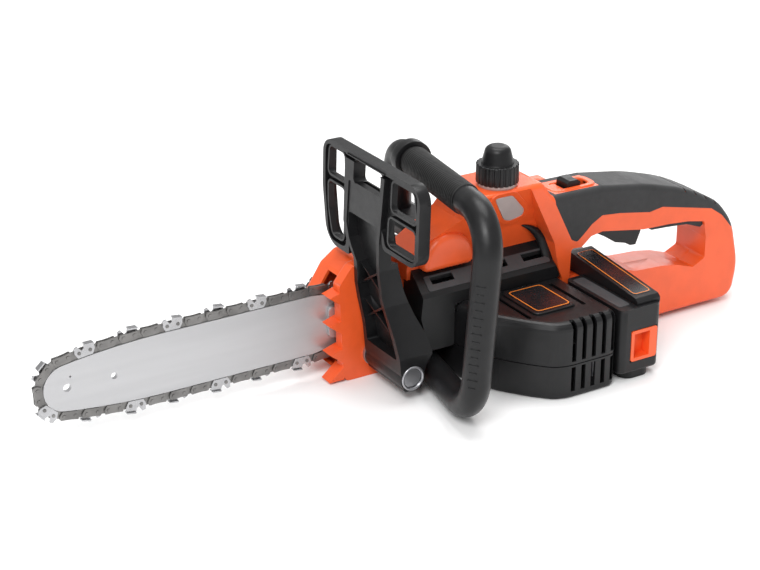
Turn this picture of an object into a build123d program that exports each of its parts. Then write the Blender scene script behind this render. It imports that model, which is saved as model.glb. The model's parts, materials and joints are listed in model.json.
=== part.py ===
from build123d import *
import math
import os

# Cordless chainsaw with a 250 mm bar, in millimetres.
# +X runs from the bar's nose to the rear handle, -Y is the operator's left, +Z is up.
# The origin is on the ground under the middle of the saw.

# ---------------------------------------------------------------- driving dimensions
SPLIT_Y = 14.0            # plane where the two housing halves meet
LEFT_Y = -6.0             # outer face of the left half
RIGHT_Y = 50.0            # outer face of the right half
HANDLE_RIGHT_Y = 34.0     # right side of the rear handle
WALL = 3.0                # housing wall

BAR_Y = 56.0              # middle plane of the bar and chain
BAR_Z = 50.0              # centreline of the bar
BAR_HALF = 26.5           # half of the bar's height
BAR_THICK = 4.0
GROOVE = 1.5              # width of the groove that the drive links run in
GROOVE_DEPTH = 6.0
NOSE_X = -301.86          # centre of the bar's nose
NOSE_R = 20.0
TAPER_X = -215.0          # where the bar starts to taper towards the nose
BAR_MOUTH_X = -75.0       # where the bar's edges start to close in towards the tail
BAR_TAIL_X = -12.0
TENSION_TRAVEL = 6.0      # how far the bar slides back to slacken the chain

LINKS = 40                # drive links in the loop
PITCH_LINE = 4.8          # height of the rivets above the bar's edge
SPROCKET_TEETH = 6
SPROCKET_R = 18.2
LINK_THICK = 1.25
STRAP_THICK = 1.2
SPINDLE_X = 10.0
SPINDLE_Z = BAR_Z

MOTOR_X = 87.0
MOTOR_Z = 35.0
FINE_MODULE = 1.0
COARSE_MODULE = 1.5
PINION_TEETH = 12
IDLER_TEETH = 36
IDLER_PINION_TEETH = 18
SPUR_TEETH = 56
RUNNING = 0.05            # radial clearance of a running shaft

GUARD_X = -32.0           # pivot of the hand guard
GUARD_Z = 21.0
BAIL_R = 12.5
STUD_X = -38.0            # bar stud
TENSION_X = -21.0         # hole in the bar that the tension slider holds
TRIGGER_PIVOT = (168.0, 101.5)   # x and z
CAP_X = 74.0              # axis of the oil cap
CAP_Y = 14.0

os.makedirs("parts", exist_ok=True)


# ---------------------------------------------------------------- helpers
def side(y):
    """Plane of an X-Z profile at y. Extruding goes towards -Y."""
    return Plane(origin=(0, y, 0), x_dir=(1, 0, 0), z_dir=(0, -1, 0))


def front(x):
    """Plane of a Y-Z profile at x. Extruding goes towards +X."""
    return Plane(origin=(x, 0, 0), x_dir=(0, 1, 0), z_dir=(1, 0, 0))


def shape(points, radius=0.0):
    """Closed face through the points, with its corners rounded."""
    with BuildSketch(mode=Mode.PRIVATE) as face:
        with BuildLine():
            if radius:
                FilletPolyline(*points, radius=radius, close=True)
            else:
                Polyline(*points, close=True)
        make_face()
    return face.sketch


def slab(points, y_low, y_high, radius=0.0):
    """Solid with an X-Z outline between two Y planes."""
    with BuildPart(mode=Mode.PRIVATE) as solid:
        with BuildSketch(side(y_high)):
            add(shape(points, radius))
        extrude(amount=y_high - y_low)
    return solid.part


def block(low, high):
    """Plain box between two corners."""
    size = [b - a for a, b in zip(low, high)]
    middle = [(a + b) / 2 for a, b in zip(low, high)]
    return Pos(*middle) * Box(*size, mode=Mode.PRIVATE)


def rod(x, z, radius, y_low, y_high):
    """Round bar along Y."""
    middle = Pos(x, (y_low + y_high) / 2, z)
    return middle * Rot(90, 0, 0) * Cylinder(radius, y_high - y_low, mode=Mode.PRIVATE)


def save(piece, name):
    piece.part.label = name
    export_step(piece.part, f"parts/{name}.step")


def polar(radius, angle):
    return (radius * math.cos(angle), radius * math.sin(angle))


def gear_points(module, teeth, phase):
    """Outline of a spur gear with short involute teeth; one tooth points at the phase angle."""
    pitch_r = module * teeth / 2
    base_r = pitch_r * math.cos(math.radians(20))
    tip_r = pitch_r + 0.72 * module
    root_r = pitch_r - 1.1 * module
    half_tooth = (math.pi * module / 2 - 0.16 * module) / 2 / pitch_r
    inv_pitch = math.tan(math.radians(20)) - math.radians(20)
    low_r = max(base_r, root_r)
    flank = [(root_r, half_tooth + inv_pitch)] if base_r > root_r else []
    for step in range(5):
        r = low_r + (tip_r - low_r) * step / 4
        pressure = math.acos(min(1.0, base_r / r))
        flank.append((r, half_tooth + inv_pitch - math.tan(pressure) + pressure))
    points = []
    for tooth in range(teeth):
        centre = phase + 2 * math.pi * tooth / teeth
        points += [polar(r, centre - a) for r, a in flank]
        points += [polar(r, centre + a) for r, a in reversed(flank)]
    return points


def gear(module, teeth, phase, x, z, y_low, y_high):
    points = [(x + px, z + pz) for px, pz in gear_points(module, teeth, phase)]
    return slab(points, y_low, y_high)


# ---------------------------------------------------------------- chain path
# Upper half of the loop above the bar's centreline, offset from the bar's edge: straight over the
# bar, a long arc over the taper, the nose arc, and straight from the bar's mouth to the sprocket.
TAPER_R = ((TAPER_X - NOSE_X) ** 2 + BAR_HALF ** 2 - NOSE_R ** 2) / (2 * (BAR_HALF - NOSE_R))
TAPER_ANGLE = math.asin((TAPER_X - NOSE_X) / (TAPER_R - NOSE_R))


def mouth_angle(offset):
    """Slope of the run from the bar's mouth down to the sprocket, for a path at this offset."""
    run = SPINDLE_X - BAR_MOUTH_X
    drop = BAR_HALF + offset
    wheel = SPROCKET_R - PITCH_LINE + offset
    reach = math.hypot(run, drop)
    return math.atan2(drop, run) - math.asin(wheel / reach)


def half_path(offset):
    """Stretches of the upper half path as (length, function from distance to x and height)."""
    height = BAR_HALF + offset
    nose = NOSE_R + offset
    taper = TAPER_R + offset
    slope = mouth_angle(offset)
    wheel = SPROCKET_R - PITCH_LINE + offset
    run = math.hypot(SPINDLE_X - BAR_MOUTH_X, height) ** 2 - wheel ** 2
    run = math.sqrt(run)

    def on_nose(s):
        a = math.pi - s / nose
        return NOSE_X + nose * math.cos(a), nose * math.sin(a)

    def on_taper(s):
        a = math.pi / 2 + TAPER_ANGLE - s / taper
        return TAPER_X + taper * math.cos(a), height - taper + taper * math.sin(a)

    def on_top(s):
        return TAPER_X + s, height

    def on_mouth(s):
        return BAR_MOUTH_X + s * math.cos(slope), height - s * math.sin(slope)

    def on_wheel(s):
        a = math.pi / 2 - slope - s / wheel
        return SPINDLE_X + wheel * math.cos(a), wheel * math.sin(a)

    return [
        (nose * (math.pi / 2 - TAPER_ANGLE), on_nose),
        (taper * TAPER_ANGLE, on_taper),
        (BAR_MOUTH_X - TAPER_X, on_top),
        (run, on_mouth),
        (wheel * (math.pi / 2 - slope), on_wheel),
    ]


HALF_LENGTH = sum(length for length, place in half_path(PITCH_LINE))
STEP = 2 * HALF_LENGTH / (2 * LINKS)


def chain_place(distance):
    """x and z of the chain at a distance from the nose tip, over the top."""
    upper = distance % (2 * HALF_LENGTH)
    lower_side = upper > HALF_LENGTH
    rest = 2 * HALF_LENGTH - upper if lower_side else upper
    for length, place in half_path(PITCH_LINE):
        if rest <= length:
            x, height = place(rest)
            break
        rest -= length
    return x, BAR_Z - height if lower_side else BAR_Z + height


def rivet_location(distance):
    x, z = chain_place(distance)
    return Location((x, BAR_Y, z))


def link_location(distance):
    """Middle of the two rivets that a link spans, turned along the line between them."""
    x0, z0 = chain_place(distance - STEP / 2)
    x1, z1 = chain_place(distance + STEP / 2)
    angle = math.degrees(math.atan2(z1 - z0, x1 - x0))
    return Location(((x0 + x1) / 2, BAR_Y, (z0 + z1) / 2), (0, -angle, 0))


# ---------------------------------------------------------------- guide bar
def bar_face(shrink):
    """Side outline of the bar, shrunk inwards by a margin."""
    half = BAR_HALF - shrink
    nose = NOSE_R - shrink
    taper = TAPER_R - shrink
    slope = mouth_angle(0)
    joint_a = math.pi / 2 + TAPER_ANGLE
    touch = (TAPER_X + taper * math.cos(joint_a), BAR_Z + half - taper + taper * math.sin(joint_a))
    middle_a = math.pi / 2 + TAPER_ANGLE / 2
    middle = (TAPER_X + taper * math.cos(middle_a), BAR_Z + half - taper + taper * math.sin(middle_a))
    tail_x = BAR_TAIL_X - shrink
    mouth_x = BAR_MOUTH_X - TENSION_TRAVEL   # so the bar clears the chain when it slides back
    tail_h = half - (tail_x - mouth_x) * math.tan(slope)
    with BuildSketch(mode=Mode.PRIVATE) as face:
        with BuildLine():
            ThreePointArc((NOSE_X - nose, BAR_Z), (NOSE_X + nose * math.cos(2.4), BAR_Z + nose * math.sin(2.4)), touch)
            ThreePointArc(touch, middle, (TAPER_X, BAR_Z + half))
            Polyline((TAPER_X, BAR_Z + half), (mouth_x, BAR_Z + half), (tail_x, BAR_Z + tail_h), (tail_x, BAR_Z))
            Line((tail_x, BAR_Z), (NOSE_X - nose, BAR_Z))
        make_face()
        mirror(about=Plane.XZ.offset(-BAR_Z))
    return face.sketch


with BuildPart() as guide_bar:
    with BuildSketch(side(BAR_Y + BAR_THICK / 2)):
        add(bar_face(0))
        with Locations((STUD_X - TENSION_TRAVEL / 2, BAR_Z)):
            SlotCenterToCenter(TENSION_TRAVEL + 3, 8.6, mode=Mode.SUBTRACT)
        with Locations((TENSION_X, BAR_Z), (-54, BAR_Z)):
            Circle(2.6, mode=Mode.SUBTRACT)
        with Locations((-60, BAR_Z + 14), (-60, BAR_Z - 14)):
            Circle(1.6, mode=Mode.SUBTRACT)
        with Locations((NOSE_X, BAR_Z)):
            Circle(3.4, mode=Mode.SUBTRACT)
        with Locations((NOSE_X + 40, BAR_Z)):
            Circle(2.8, mode=Mode.SUBTRACT)
        with Locations((NOSE_X + 3, BAR_Z + 9)):
            Circle(0.9, mode=Mode.SUBTRACT)
    extrude(amount=BAR_THICK)
    with BuildSketch(side(BAR_Y + GROOVE / 2)):
        add(bar_face(0))
        add(bar_face(GROOVE_DEPTH), mode=Mode.SUBTRACT)
    extrude(amount=GROOVE, mode=Mode.SUBTRACT)
save(guide_bar, "guide_bar")

# ---------------------------------------------------------------- chain
# One link of each kind, drawn along +X with its rivets half a pitch either side of the origin.
HALF_PITCH = STEP / 2
RIVET_R = 1.4
RIVET_HOLE_R = 1.5


def link_plate(outline, y_low, y_high, radius):
    with BuildPart(mode=Mode.PRIVATE) as plate:
        with BuildSketch(side(y_high)):
            add(shape(outline, radius))
            with Locations((-HALF_PITCH, 0), (HALF_PITCH, 0)):
                Circle(RIVET_HOLE_R, mode=Mode.SUBTRACT)
        extrude(amount=y_high - y_low)
    return plate.part


PLATE_IN = LINK_THICK / 2 + 0.05
PLATE_OUT = PLATE_IN + STRAP_THICK
drive_outline = [(-7.6, -3.0), (-7.8, 2.6), (7.8, 2.6), (7.6, -3.0), (3.2, -4.6), (0.6, -8.9), (-1.6, -9.4), (-3.4, -4.6)]
strap_outline = [(-6.4, -4.1), (-8.6, 0.0), (-7.6, 3.4), (-2.0, 3.0), (2.0, 3.0), (7.6, 3.4), (8.6, 0.0), (6.4, -4.1)]
cutter_outline = [(-6.4, -4.1), (-8.7, 0.4), (-8.2, 5.2), (-5.6, 6.2), (-4.4, 4.4), (-2.4, 1.6), (-0.6, 3.0),
                  (0.4, 6.9), (8.4, 5.9), (8.7, 0.4), (6.4, -4.1)]

drive_link = link_plate(drive_outline, -LINK_THICK / 2, LINK_THICK / 2, 0.5)
right_strap = link_plate(strap_outline, PLATE_IN, PLATE_OUT, 1.0)
left_strap = link_plate(strap_outline, -PLATE_OUT, -PLATE_IN, 1.0)
right_side = link_plate(cutter_outline, PLATE_IN, PLATE_OUT, 0.5)
left_side = link_plate(cutter_outline, -PLATE_OUT, -PLATE_IN, 0.5)
top_plate = slab([(0.6, 6.9), (0.3, 5.7), (8.2, 4.9), (8.2, 6.0)], -1.9, 3.5)
right_cutter = right_side + top_plate
left_cutter = left_side + slab([(0.6, 6.9), (0.3, 5.7), (8.2, 4.9), (8.2, 6.0)], -3.5, 1.9)
rivet = rod(0, 0, RIVET_R, -PLATE_OUT - 0.5, PLATE_OUT + 0.5)

# Drive links and side plates take turns round the loop. The first cutter sits a little behind the
# nose; every other pair of side plates holds a cutter, left and right in turn.
CHAIN_PHASE = 0.35 * STEP
drive_spots = [link_location(CHAIN_PHASE + STEP * (2 * i + 0.5)) for i in range(LINKS)]
plate_spots = [link_location(CHAIN_PHASE + STEP * (2 * i + 1.5)) for i in range(LINKS)]
rivet_spots = [rivet_location(CHAIN_PHASE + STEP * i) for i in range(2 * LINKS)]

with BuildPart() as chain_drive_links:
    with Locations(*drive_spots):
        add(drive_link)
save(chain_drive_links, "chain_drive_links")

with BuildPart() as chain_tie_straps:
    with Locations(*[spot for i, spot in enumerate(plate_spots) if i % 4 != 2]):
        add(left_strap)
    with Locations(*[spot for i, spot in enumerate(plate_spots) if i % 4 != 0]):
        add(right_strap)
save(chain_tie_straps, "chain_tie_straps")

with BuildPart() as chain_cutters_left:
    with Locations(*plate_spots[2::4]):
        add(left_cutter)
save(chain_cutters_left, "chain_cutters_left")

with BuildPart() as chain_cutters_right:
    with Locations(*plate_spots[0::4]):
        add(right_cutter)
save(chain_cutters_right, "chain_cutters_right")

with BuildPart() as chain_rivets:
    with Locations(*rivet_spots):
        add(rivet)
save(chain_rivets, "chain_rivets")

# ---------------------------------------------------------------- gear train
# Rotor pinion, compound idler and spur gear; the idler's place follows from the two centre distances.
FINE_DISTANCE = FINE_MODULE * (PINION_TEETH + IDLER_TEETH) / 2
COARSE_DISTANCE = COARSE_MODULE * (IDLER_PINION_TEETH + SPUR_TEETH) / 2
SPAN = math.hypot(MOTOR_X - SPINDLE_X, MOTOR_Z - SPINDLE_Z)
SPAN_ANGLE = math.atan2(MOTOR_Z - SPINDLE_Z, MOTOR_X - SPINDLE_X)
BEND = math.acos((COARSE_DISTANCE ** 2 + SPAN ** 2 - FINE_DISTANCE ** 2) / (2 * COARSE_DISTANCE * SPAN))
IDLER_X = SPINDLE_X + COARSE_DISTANCE * math.cos(SPAN_ANGLE + BEND)
IDLER_Z = SPINDLE_Z + COARSE_DISTANCE * math.sin(SPAN_ANGLE + BEND)
TO_IDLER = math.atan2(IDLER_Z - SPINDLE_Z, IDLER_X - SPINDLE_X)
TO_MOTOR = math.atan2(MOTOR_Z - IDLER_Z, MOTOR_X - IDLER_X)
SHAFT_R = 6.0
IDLER_PIN_R = 3.0
ROTOR_SHAFT_R = 2.5

with BuildPart() as spur_gear:
    add(gear(COARSE_MODULE, SPUR_TEETH, TO_IDLER, SPINDLE_X, SPINDLE_Z, 40.0, 45.5))
    add(rod(SPINDLE_X, SPINDLE_Z, 11, 37.5, 40.0))
    with Locations((SPINDLE_X, 42, SPINDLE_Z)):
        Cylinder(SHAFT_R, 20, rotation=(90, 0, 0), mode=Mode.SUBTRACT)
    with BuildSketch(side(46)):
        with Locations((SPINDLE_X, SPINDLE_Z)):
            with PolarLocations(26, 6):
                Circle(7)
    extrude(amount=10, mode=Mode.SUBTRACT)
save(spur_gear, "spur_gear")

with BuildPart() as spindle_shaft:
    add(rod(SPINDLE_X, SPINDLE_Z, SHAFT_R, 24.5, 63.0))
    chamfer(spindle_shaft.edges().sort_by(Axis.Y)[-1], 0.8)
save(spindle_shaft, "spindle_shaft")

# The six teeth are drawn a little short so that they turn clear of the chain, which is drawn still.
SPROCKET_TIP_R = 8.1
with BuildPart() as drive_sprocket:
    with BuildSketch(side(BAR_Y + 4)):
        with Locations((SPINDLE_X, SPINDLE_Z)):
            Circle(SPROCKET_TIP_R)
            with PolarLocations(SPROCKET_TIP_R, SPROCKET_TEETH):
                Circle(1.3, mode=Mode.SUBTRACT)
            Circle(SHAFT_R, mode=Mode.SUBTRACT)
    extrude(amount=8)
save(drive_sprocket, "drive_sprocket")

# The coarse pinion has a gap, not a tooth, where the spur gear's tooth points at it.
COARSE_PHASE = TO_IDLER + math.pi + math.pi / IDLER_PINION_TEETH
with BuildPart() as idler_gear:
    add(gear(FINE_MODULE, IDLER_TEETH, TO_MOTOR, IDLER_X, IDLER_Z, 27.0, 33.0))
    add(gear(COARSE_MODULE, IDLER_PINION_TEETH, COARSE_PHASE, IDLER_X, IDLER_Z, 33.0, 46.0))
    with Locations((IDLER_X, 36, IDLER_Z)):
        Cylinder(IDLER_PIN_R + RUNNING, 30, rotation=(90, 0, 0), mode=Mode.SUBTRACT)
save(idler_gear, "idler_gear")

with BuildPart() as idler_pin:
    add(rod(IDLER_X, IDLER_Z, IDLER_PIN_R, 21.0, 47.0))
save(idler_pin, "idler_pin")

FINE_PHASE = TO_MOTOR + math.pi + math.pi / PINION_TEETH
with BuildPart() as rotor_shaft:
    add(rod(MOTOR_X, MOTOR_Z, ROTOR_SHAFT_R, -68.0, 26.0))
    add(gear(FINE_MODULE, PINION_TEETH, FINE_PHASE, MOTOR_X, MOTOR_Z, 26.0, 34.0))
save(rotor_shaft, "rotor_shaft")

with BuildPart() as rotor_core:
    with BuildSketch(side(8)):
        with Locations((MOTOR_X, MOTOR_Z)):
            Circle(14.5)
            with PolarLocations(12.5, 10):
                SlotOverall(5, 1.6, mode=Mode.SUBTRACT)
            Circle(ROTOR_SHAFT_R, mode=Mode.SUBTRACT)
    extrude(amount=38)
save(rotor_core, "rotor_core")

with BuildPart() as cooling_fan:
    with BuildSketch(side(-52)):
        with Locations((MOTOR_X, MOTOR_Z)):
            Circle(20)
            Circle(ROTOR_SHAFT_R, mode=Mode.SUBTRACT)
    extrude(amount=2)
    with BuildSketch(side(-54)):
        with Locations((MOTOR_X, MOTOR_Z)):
            Circle(6)
            with PolarLocations(12.5, 9):
                Rectangle(14, 1.4)
            Circle(ROTOR_SHAFT_R, mode=Mode.SUBTRACT)
    extrude(amount=9)
save(cooling_fan, "cooling_fan")

with BuildPart() as motor_can:
    add(rod(MOTOR_X, MOTOR_Z, 21.0, -46.0, 20.8))
    add(rod(MOTOR_X, MOTOR_Z, 18.5, -44.0, 18.5), mode=Mode.SUBTRACT)
    add(rod(MOTOR_X, MOTOR_Z, ROTOR_SHAFT_R + RUNNING, -50.0, 26.0), mode=Mode.SUBTRACT)
    with BuildSketch(side(-30)):
        with Locations((MOTOR_X, MOTOR_Z)):
            with PolarLocations(14.5, 6):
                SlotOverall(6, 3)
    extrude(amount=20, mode=Mode.SUBTRACT)
save(motor_can, "motor_can")

BEARING_R = 12.0
BEARING_IN = SHAFT_R + RUNNING
with BuildPart() as gear_plate:
    with BuildSketch(side(24)):
        add(shape([(-6, 33), (-5, 74), (24, 82), (112, 62), (112, 10), (40, 10), (20, 32)], 5))
        with Locations((IDLER_X, IDLER_Z)):
            Circle(IDLER_PIN_R, mode=Mode.SUBTRACT)
        with Locations((MOTOR_X, MOTOR_Z)):
            Circle(ROTOR_SHAFT_R + 1, mode=Mode.SUBTRACT)
    extrude(amount=3)
    add(rod(SPINDLE_X, SPINDLE_Z, BEARING_R + 2.5, 24.0, 30.0))
    add(rod(SPINDLE_X, SPINDLE_Z, BEARING_R, 24.0, 30.0), mode=Mode.SUBTRACT)
save(gear_plate, "gear_plate")

with BuildPart() as spindle_bearings:
    for low, high in ((24.0, 30.0), (46.0, 52.0)):
        add(rod(SPINDLE_X, SPINDLE_Z, BEARING_R, low, high))
        add(rod(SPINDLE_X, SPINDLE_Z, BEARING_IN, low, high), mode=Mode.SUBTRACT)
save(spindle_bearings, "spindle_bearings")

# ---------------------------------------------------------------- housing halves
BODY = [(-62, 0), (-66, 88), (-54, 103), (-12, 112), (8, 124), (32, 138), (50, 158), (108, 158), (119, 143),
        (172, 142), (221, 134), (265, 121), (303, 101), (321, 78), (330.8, 36), (325, 4), (250, 4), (140, 0)]
BODY_RADII = [6] * 10 + [180, 180, 55, 55, 55, 14, 6, 6]   # the handle's top is one smooth sweep
LOOP = [(138, 64), (139, 92), (150, 91), (160, 99), (172, 101), (217, 93), (245, 92), (267, 90), (286, 86),
        (289, 70), (289, 50), (276, 44), (258, 50), (241, 53), (211, 55), (186, 63)]
GRIP_ZONE = [(117, 160), (121, 136), (139, 100), (145, 97), (150, 101), (160, 110), (171, 116),
             (190, 114), (223, 108), (237, 110), (293, 97), (306, 88), (318, 74), (340, 74), (340, 160)]
BODY_CAVITY = [(-10, 5), (-10, 107), (9, 119), (35, 133), (53, 152), (103, 152), (112, 140), (120, 118),
               (127, 96), (125, 60), (125, 5)]
FRONT_CAVITY = [(-60, 6), (-62, 86), (-51, 98), (-11, 106), (20, 106), (20, 6)]
HANDLE_CAVITY = [(126, 136), (172, 136), (221, 128), (262, 115), (286, 103), (286, 98), (245, 98), (217, 99),
                 (180, 107), (160, 106), (146, 104), (134, 114)]
RAIL_CAVITY = [(128, 8), (300, 9), (300, 34), (262, 42), (241, 46), (211, 48), (186, 55), (128, 55)]
GRIP_THICK = 2.2
HOUSING_SCREWS = [(306, 22, HANDLE_RIGHT_Y), (304, 62, HANDLE_RIGHT_Y), (215, 28, HANDLE_RIGHT_Y),
                  (117, 30, RIGHT_Y), (28, 118, RIGHT_Y)]   # x, z and the face that the head is in
LEAN_SIDE = [(-20, 161), (92, 161), (121, 101), (126, 77), (130.5, 66), (130.5, -3), (-20, -3)]
LEAN_FRONT = [(-12, 157.5), (-6, 157.5), (12, 118), (18, 97), (18, 88), (26, 88), (26, -3), (-12, -3)]
COVER_BACK_Y = 25.8       # where the black covers end against the right half


def body_solid(points, y_low, y_high, edge):
    """Slab of the housing outline with its outer rims rounded."""
    with BuildPart(mode=Mode.PRIVATE) as solid:
        with BuildSketch(side(y_high)):
            add(shape(points, BODY_RADII))
        extrude(amount=y_high - y_low)
        rims = solid.edges().filter_by(lambda e: abs(e.center().Y - y_low) < 0.01)
        rims += solid.edges().filter_by(lambda e: abs(e.center().Y - y_high) < 0.01)
        fillet(rims, edge)
    return solid.part


def lean(margin):
    """Space beside the body that its leaning near face and the black covers leave free."""
    with BuildPart(mode=Mode.PRIVATE) as space:
        with BuildSketch(front(-20)):
            add(shape(LEAN_FRONT))
            if margin:
                offset(amount=margin, kind=Kind.INTERSECTION)
        extrude(amount=160)
    with BuildPart(mode=Mode.PRIVATE) as side_space:
        with BuildSketch(side(RIGHT_Y)):
            add(shape(LEAN_SIDE))
            if margin:
                offset(amount=margin, kind=Kind.INTERSECTION)
        extrude(amount=RIGHT_Y - LEFT_Y + 20)
    return space.part & side_space.part


outer_body = body_solid(BODY, LEFT_Y, RIGHT_Y, 5)
handle_cut = slab([(139, 0), (139, 170), (340, 170), (340, 0)], HANDLE_RIGHT_Y, RIGHT_Y + 1)
loop_cut = slab(LOOP, LEFT_Y - 5, RIGHT_Y + 5, 3)
front_cut = slab([(-80, -5), (-80, 130), (-12, 130), (-12, -5)], LEFT_Y - 5, 36)
stalk_cut = block((146, -20, 62.5), (180, 36, 90))
shell = outer_body - handle_cut - loop_cut - front_cut - stalk_cut - lean(0)

# The rubber grip is a skin round the handle's top; the housing is thinner by as much underneath it.
grip_outer = slab(GRIP_ZONE, LEFT_Y - 1, HANDLE_RIGHT_Y, 3)
core_top = [(100, 100), (119, 140.8), (172, 139.8), (220.5, 131.8), (264, 118.8), (301, 99.5), (318.6, 77),
            (322, 60), (100, 60)]
grip_core = slab(core_top, LEFT_Y + GRIP_THICK, HANDLE_RIGHT_Y - GRIP_THICK, [4, 4, 4, 180, 180, 50, 12, 6, 4])
lock_zone = slab([(124, 130), (124, 160), (170, 160), (170, 130)], 0, 28)
lock_slot = slab([(138, 126), (138, 150), (165, 150), (165, 126)], 6, 22)
trigger_slot = slab([(163, 80), (163, 110), (227, 110), (227, 80)], 6, 22)
window_cut = slab([(60, 150), (76, 153), (97, 130), (92, 121), (79, 124)], LEFT_Y - 5, 14.5, 2.5)
cap_hole = Pos(CAP_X, CAP_Y, 155) * Cylinder(13.2, 20)

with BuildPart() as rear_grip:
    add(shell & grip_outer)
    add(grip_core, mode=Mode.SUBTRACT)
    add(lock_zone, mode=Mode.SUBTRACT)
    for x, z in ((262, 117.5), (274, 112.5), (286, 106.5), (297, 99.5)):
        add(block((x, -20, z), (x + 1.6, 50, z + 12)), mode=Mode.SUBTRACT)
save(rear_grip, "rear_grip")

orange = (shell - grip_outer) + (shell & grip_outer & grip_core) + (shell & grip_outer & lock_zone)
body_hollow = slab(BODY_CAVITY, LEFT_Y + WALL, RIGHT_Y - WALL, 3) - lean(WALL)
gear_hollow = slab([(-9, 6), (-9, 96), (112, 96), (112, 6)], 20, RIGHT_Y - WALL)
front_hollow = slab(FRONT_CAVITY, 36 + WALL, RIGHT_Y - WALL, 3)
handle_hollow = slab(HANDLE_CAVITY, LEFT_Y + WALL + GRIP_THICK, HANDLE_RIGHT_Y - WALL - GRIP_THICK, 2)
rail_hollow = slab(RAIL_CAVITY, LEFT_Y + WALL, HANDLE_RIGHT_Y - WALL, 3)

with BuildPart() as left_housing:
    add(orange & block((-12, LEFT_Y - 1, -10), (340, SPLIT_Y, 170)))
    for cut in (body_hollow, handle_hollow, rail_hollow, lock_slot, trigger_slot, window_cut, cap_hole):
        add(cut, mode=Mode.SUBTRACT)
    add(rod(*TRIGGER_PIVOT, 1.5, 2, 26), mode=Mode.SUBTRACT)
save(left_housing, "left_housing")

with BuildPart() as right_housing:
    add(orange & block((-80, SPLIT_Y, -10), (340, RIGHT_Y + 1, 170)))
    for cut in (body_hollow, gear_hollow, front_hollow, handle_hollow, rail_hollow, lock_slot, trigger_slot, cap_hole):
        add(cut, mode=Mode.SUBTRACT)
    add(window_cut, mode=Mode.SUBTRACT)
    add(rod(SPINDLE_X, SPINDLE_Z, BEARING_R + 2.5, 46.2, RIGHT_Y))
    add(rod(SPINDLE_X, SPINDLE_Z, BEARING_R, 46, 52), mode=Mode.SUBTRACT)
    for height in (24, 50, 76):
        add(slab([(-75, height + 3), (-62, height - 7), (-62, height + 7)], 36, RIGHT_Y))
    add(slab([(-76, 2), (-62, 2), (-62, 14)], 36, RIGHT_Y))
    add(rod(STUD_X, BAR_Z, 4.0, 40, 52), mode=Mode.SUBTRACT)
    for x, z, face_y in HOUSING_SCREWS:
        add(rod(x, z, 4.5, face_y - 18, face_y - 1))
        add(rod(x, z, 1.8, face_y - 20, face_y + 1), mode=Mode.SUBTRACT)
        add(rod(x, z, 3.6, face_y - 2, face_y + 1), mode=Mode.SUBTRACT)
    add(rod(*TRIGGER_PIVOT, 1.5, 2, 26), mode=Mode.SUBTRACT)
save(right_housing, "right_housing")

with BuildPart() as grip_strip:
    strip = [(225, 92.6), (240, 98), (284, 91), (290, 84), (284, 80), (268, 86), (245, 88), (228, 89)]
    add(slab(strip, -3.0, 31.0, 1.5) - shell)
save(grip_strip, "grip_strip")

# ---------------------------------------------------------------- black covers on the near side
PLAN = [(17, COVER_BACK_Y), (22, -4), (33, -41), (53, -69), (67, -84), (79, -88), (130, -88), (130, COVER_BACK_Y)]
COVER_WALL = 2.5
SEAM_Z = 30.0
COVER_SCREWS = [(36, 8), (120, 8), (121, -66)]
COVER_TOP_Z = 68.0


def cover_shell(z_low, z_high, cavity_low, cavity_high, top_round):
    with BuildPart(mode=Mode.PRIVATE) as cover:
        with BuildSketch(Plane.XY.offset(z_low)):
            add(shape(PLAN, 4))
        extrude(amount=z_high - z_low)
        if top_round:
            fillet(cover.edges().group_by(Axis.Z)[-1], top_round)
        with BuildSketch(Plane.XY.offset(cavity_low)):
            add(shape(PLAN, 4))
            offset(amount=-COVER_WALL)
        extrude(amount=cavity_high - cavity_low, mode=Mode.SUBTRACT)
        add(block((20.5, 15, cavity_low), (127.5, 30, cavity_high)), mode=Mode.SUBTRACT)
        add(block((10, 20.5, cavity_low), (127.5, 30, cavity_high)), mode=Mode.SUBTRACT)
    return cover.part


vent_slots = [block((x, -95, 6), (x + 4.5, -78, 62)) for x in (88, 98, 108, 118)]
top_slots = [block((x, -58, 60), (x + 4.0, -8, 75)) for x in (56, 111)]

with BuildPart() as motor_cover_lower:
    add(cover_shell(0, SEAM_Z, COVER_WALL, SEAM_Z + 1, 0))
    for cut in vent_slots:
        add(cut & block((80, -95, 6), (126, -70, 27)), mode=Mode.SUBTRACT)
    with Locations(*[(x, y, 11) for x, y in COVER_SCREWS]):
        Cylinder(4.2, 17.5)
        Cylinder(1.8, 30, mode=Mode.SUBTRACT)
    with Locations(*[(x, y, 1) for x, y in COVER_SCREWS]):
        Cylinder(3.4, 3, mode=Mode.SUBTRACT)
save(motor_cover_lower, "motor_cover_lower")

with BuildPart() as motor_cover_upper:
    add(cover_shell(SEAM_Z + 0.4, COVER_TOP_Z, SEAM_Z, COVER_TOP_Z - COVER_WALL, 3.6))
    for cut in vent_slots:
        add(cut & block((80, -95, 33), (126, -70, 62)), mode=Mode.SUBTRACT)
    for cut in top_slots:
        add(cut, mode=Mode.SUBTRACT)
    add(block((10, -5, 60), (126, 30, 70)), mode=Mode.SUBTRACT)
save(motor_cover_upper, "motor_cover_upper")

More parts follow.
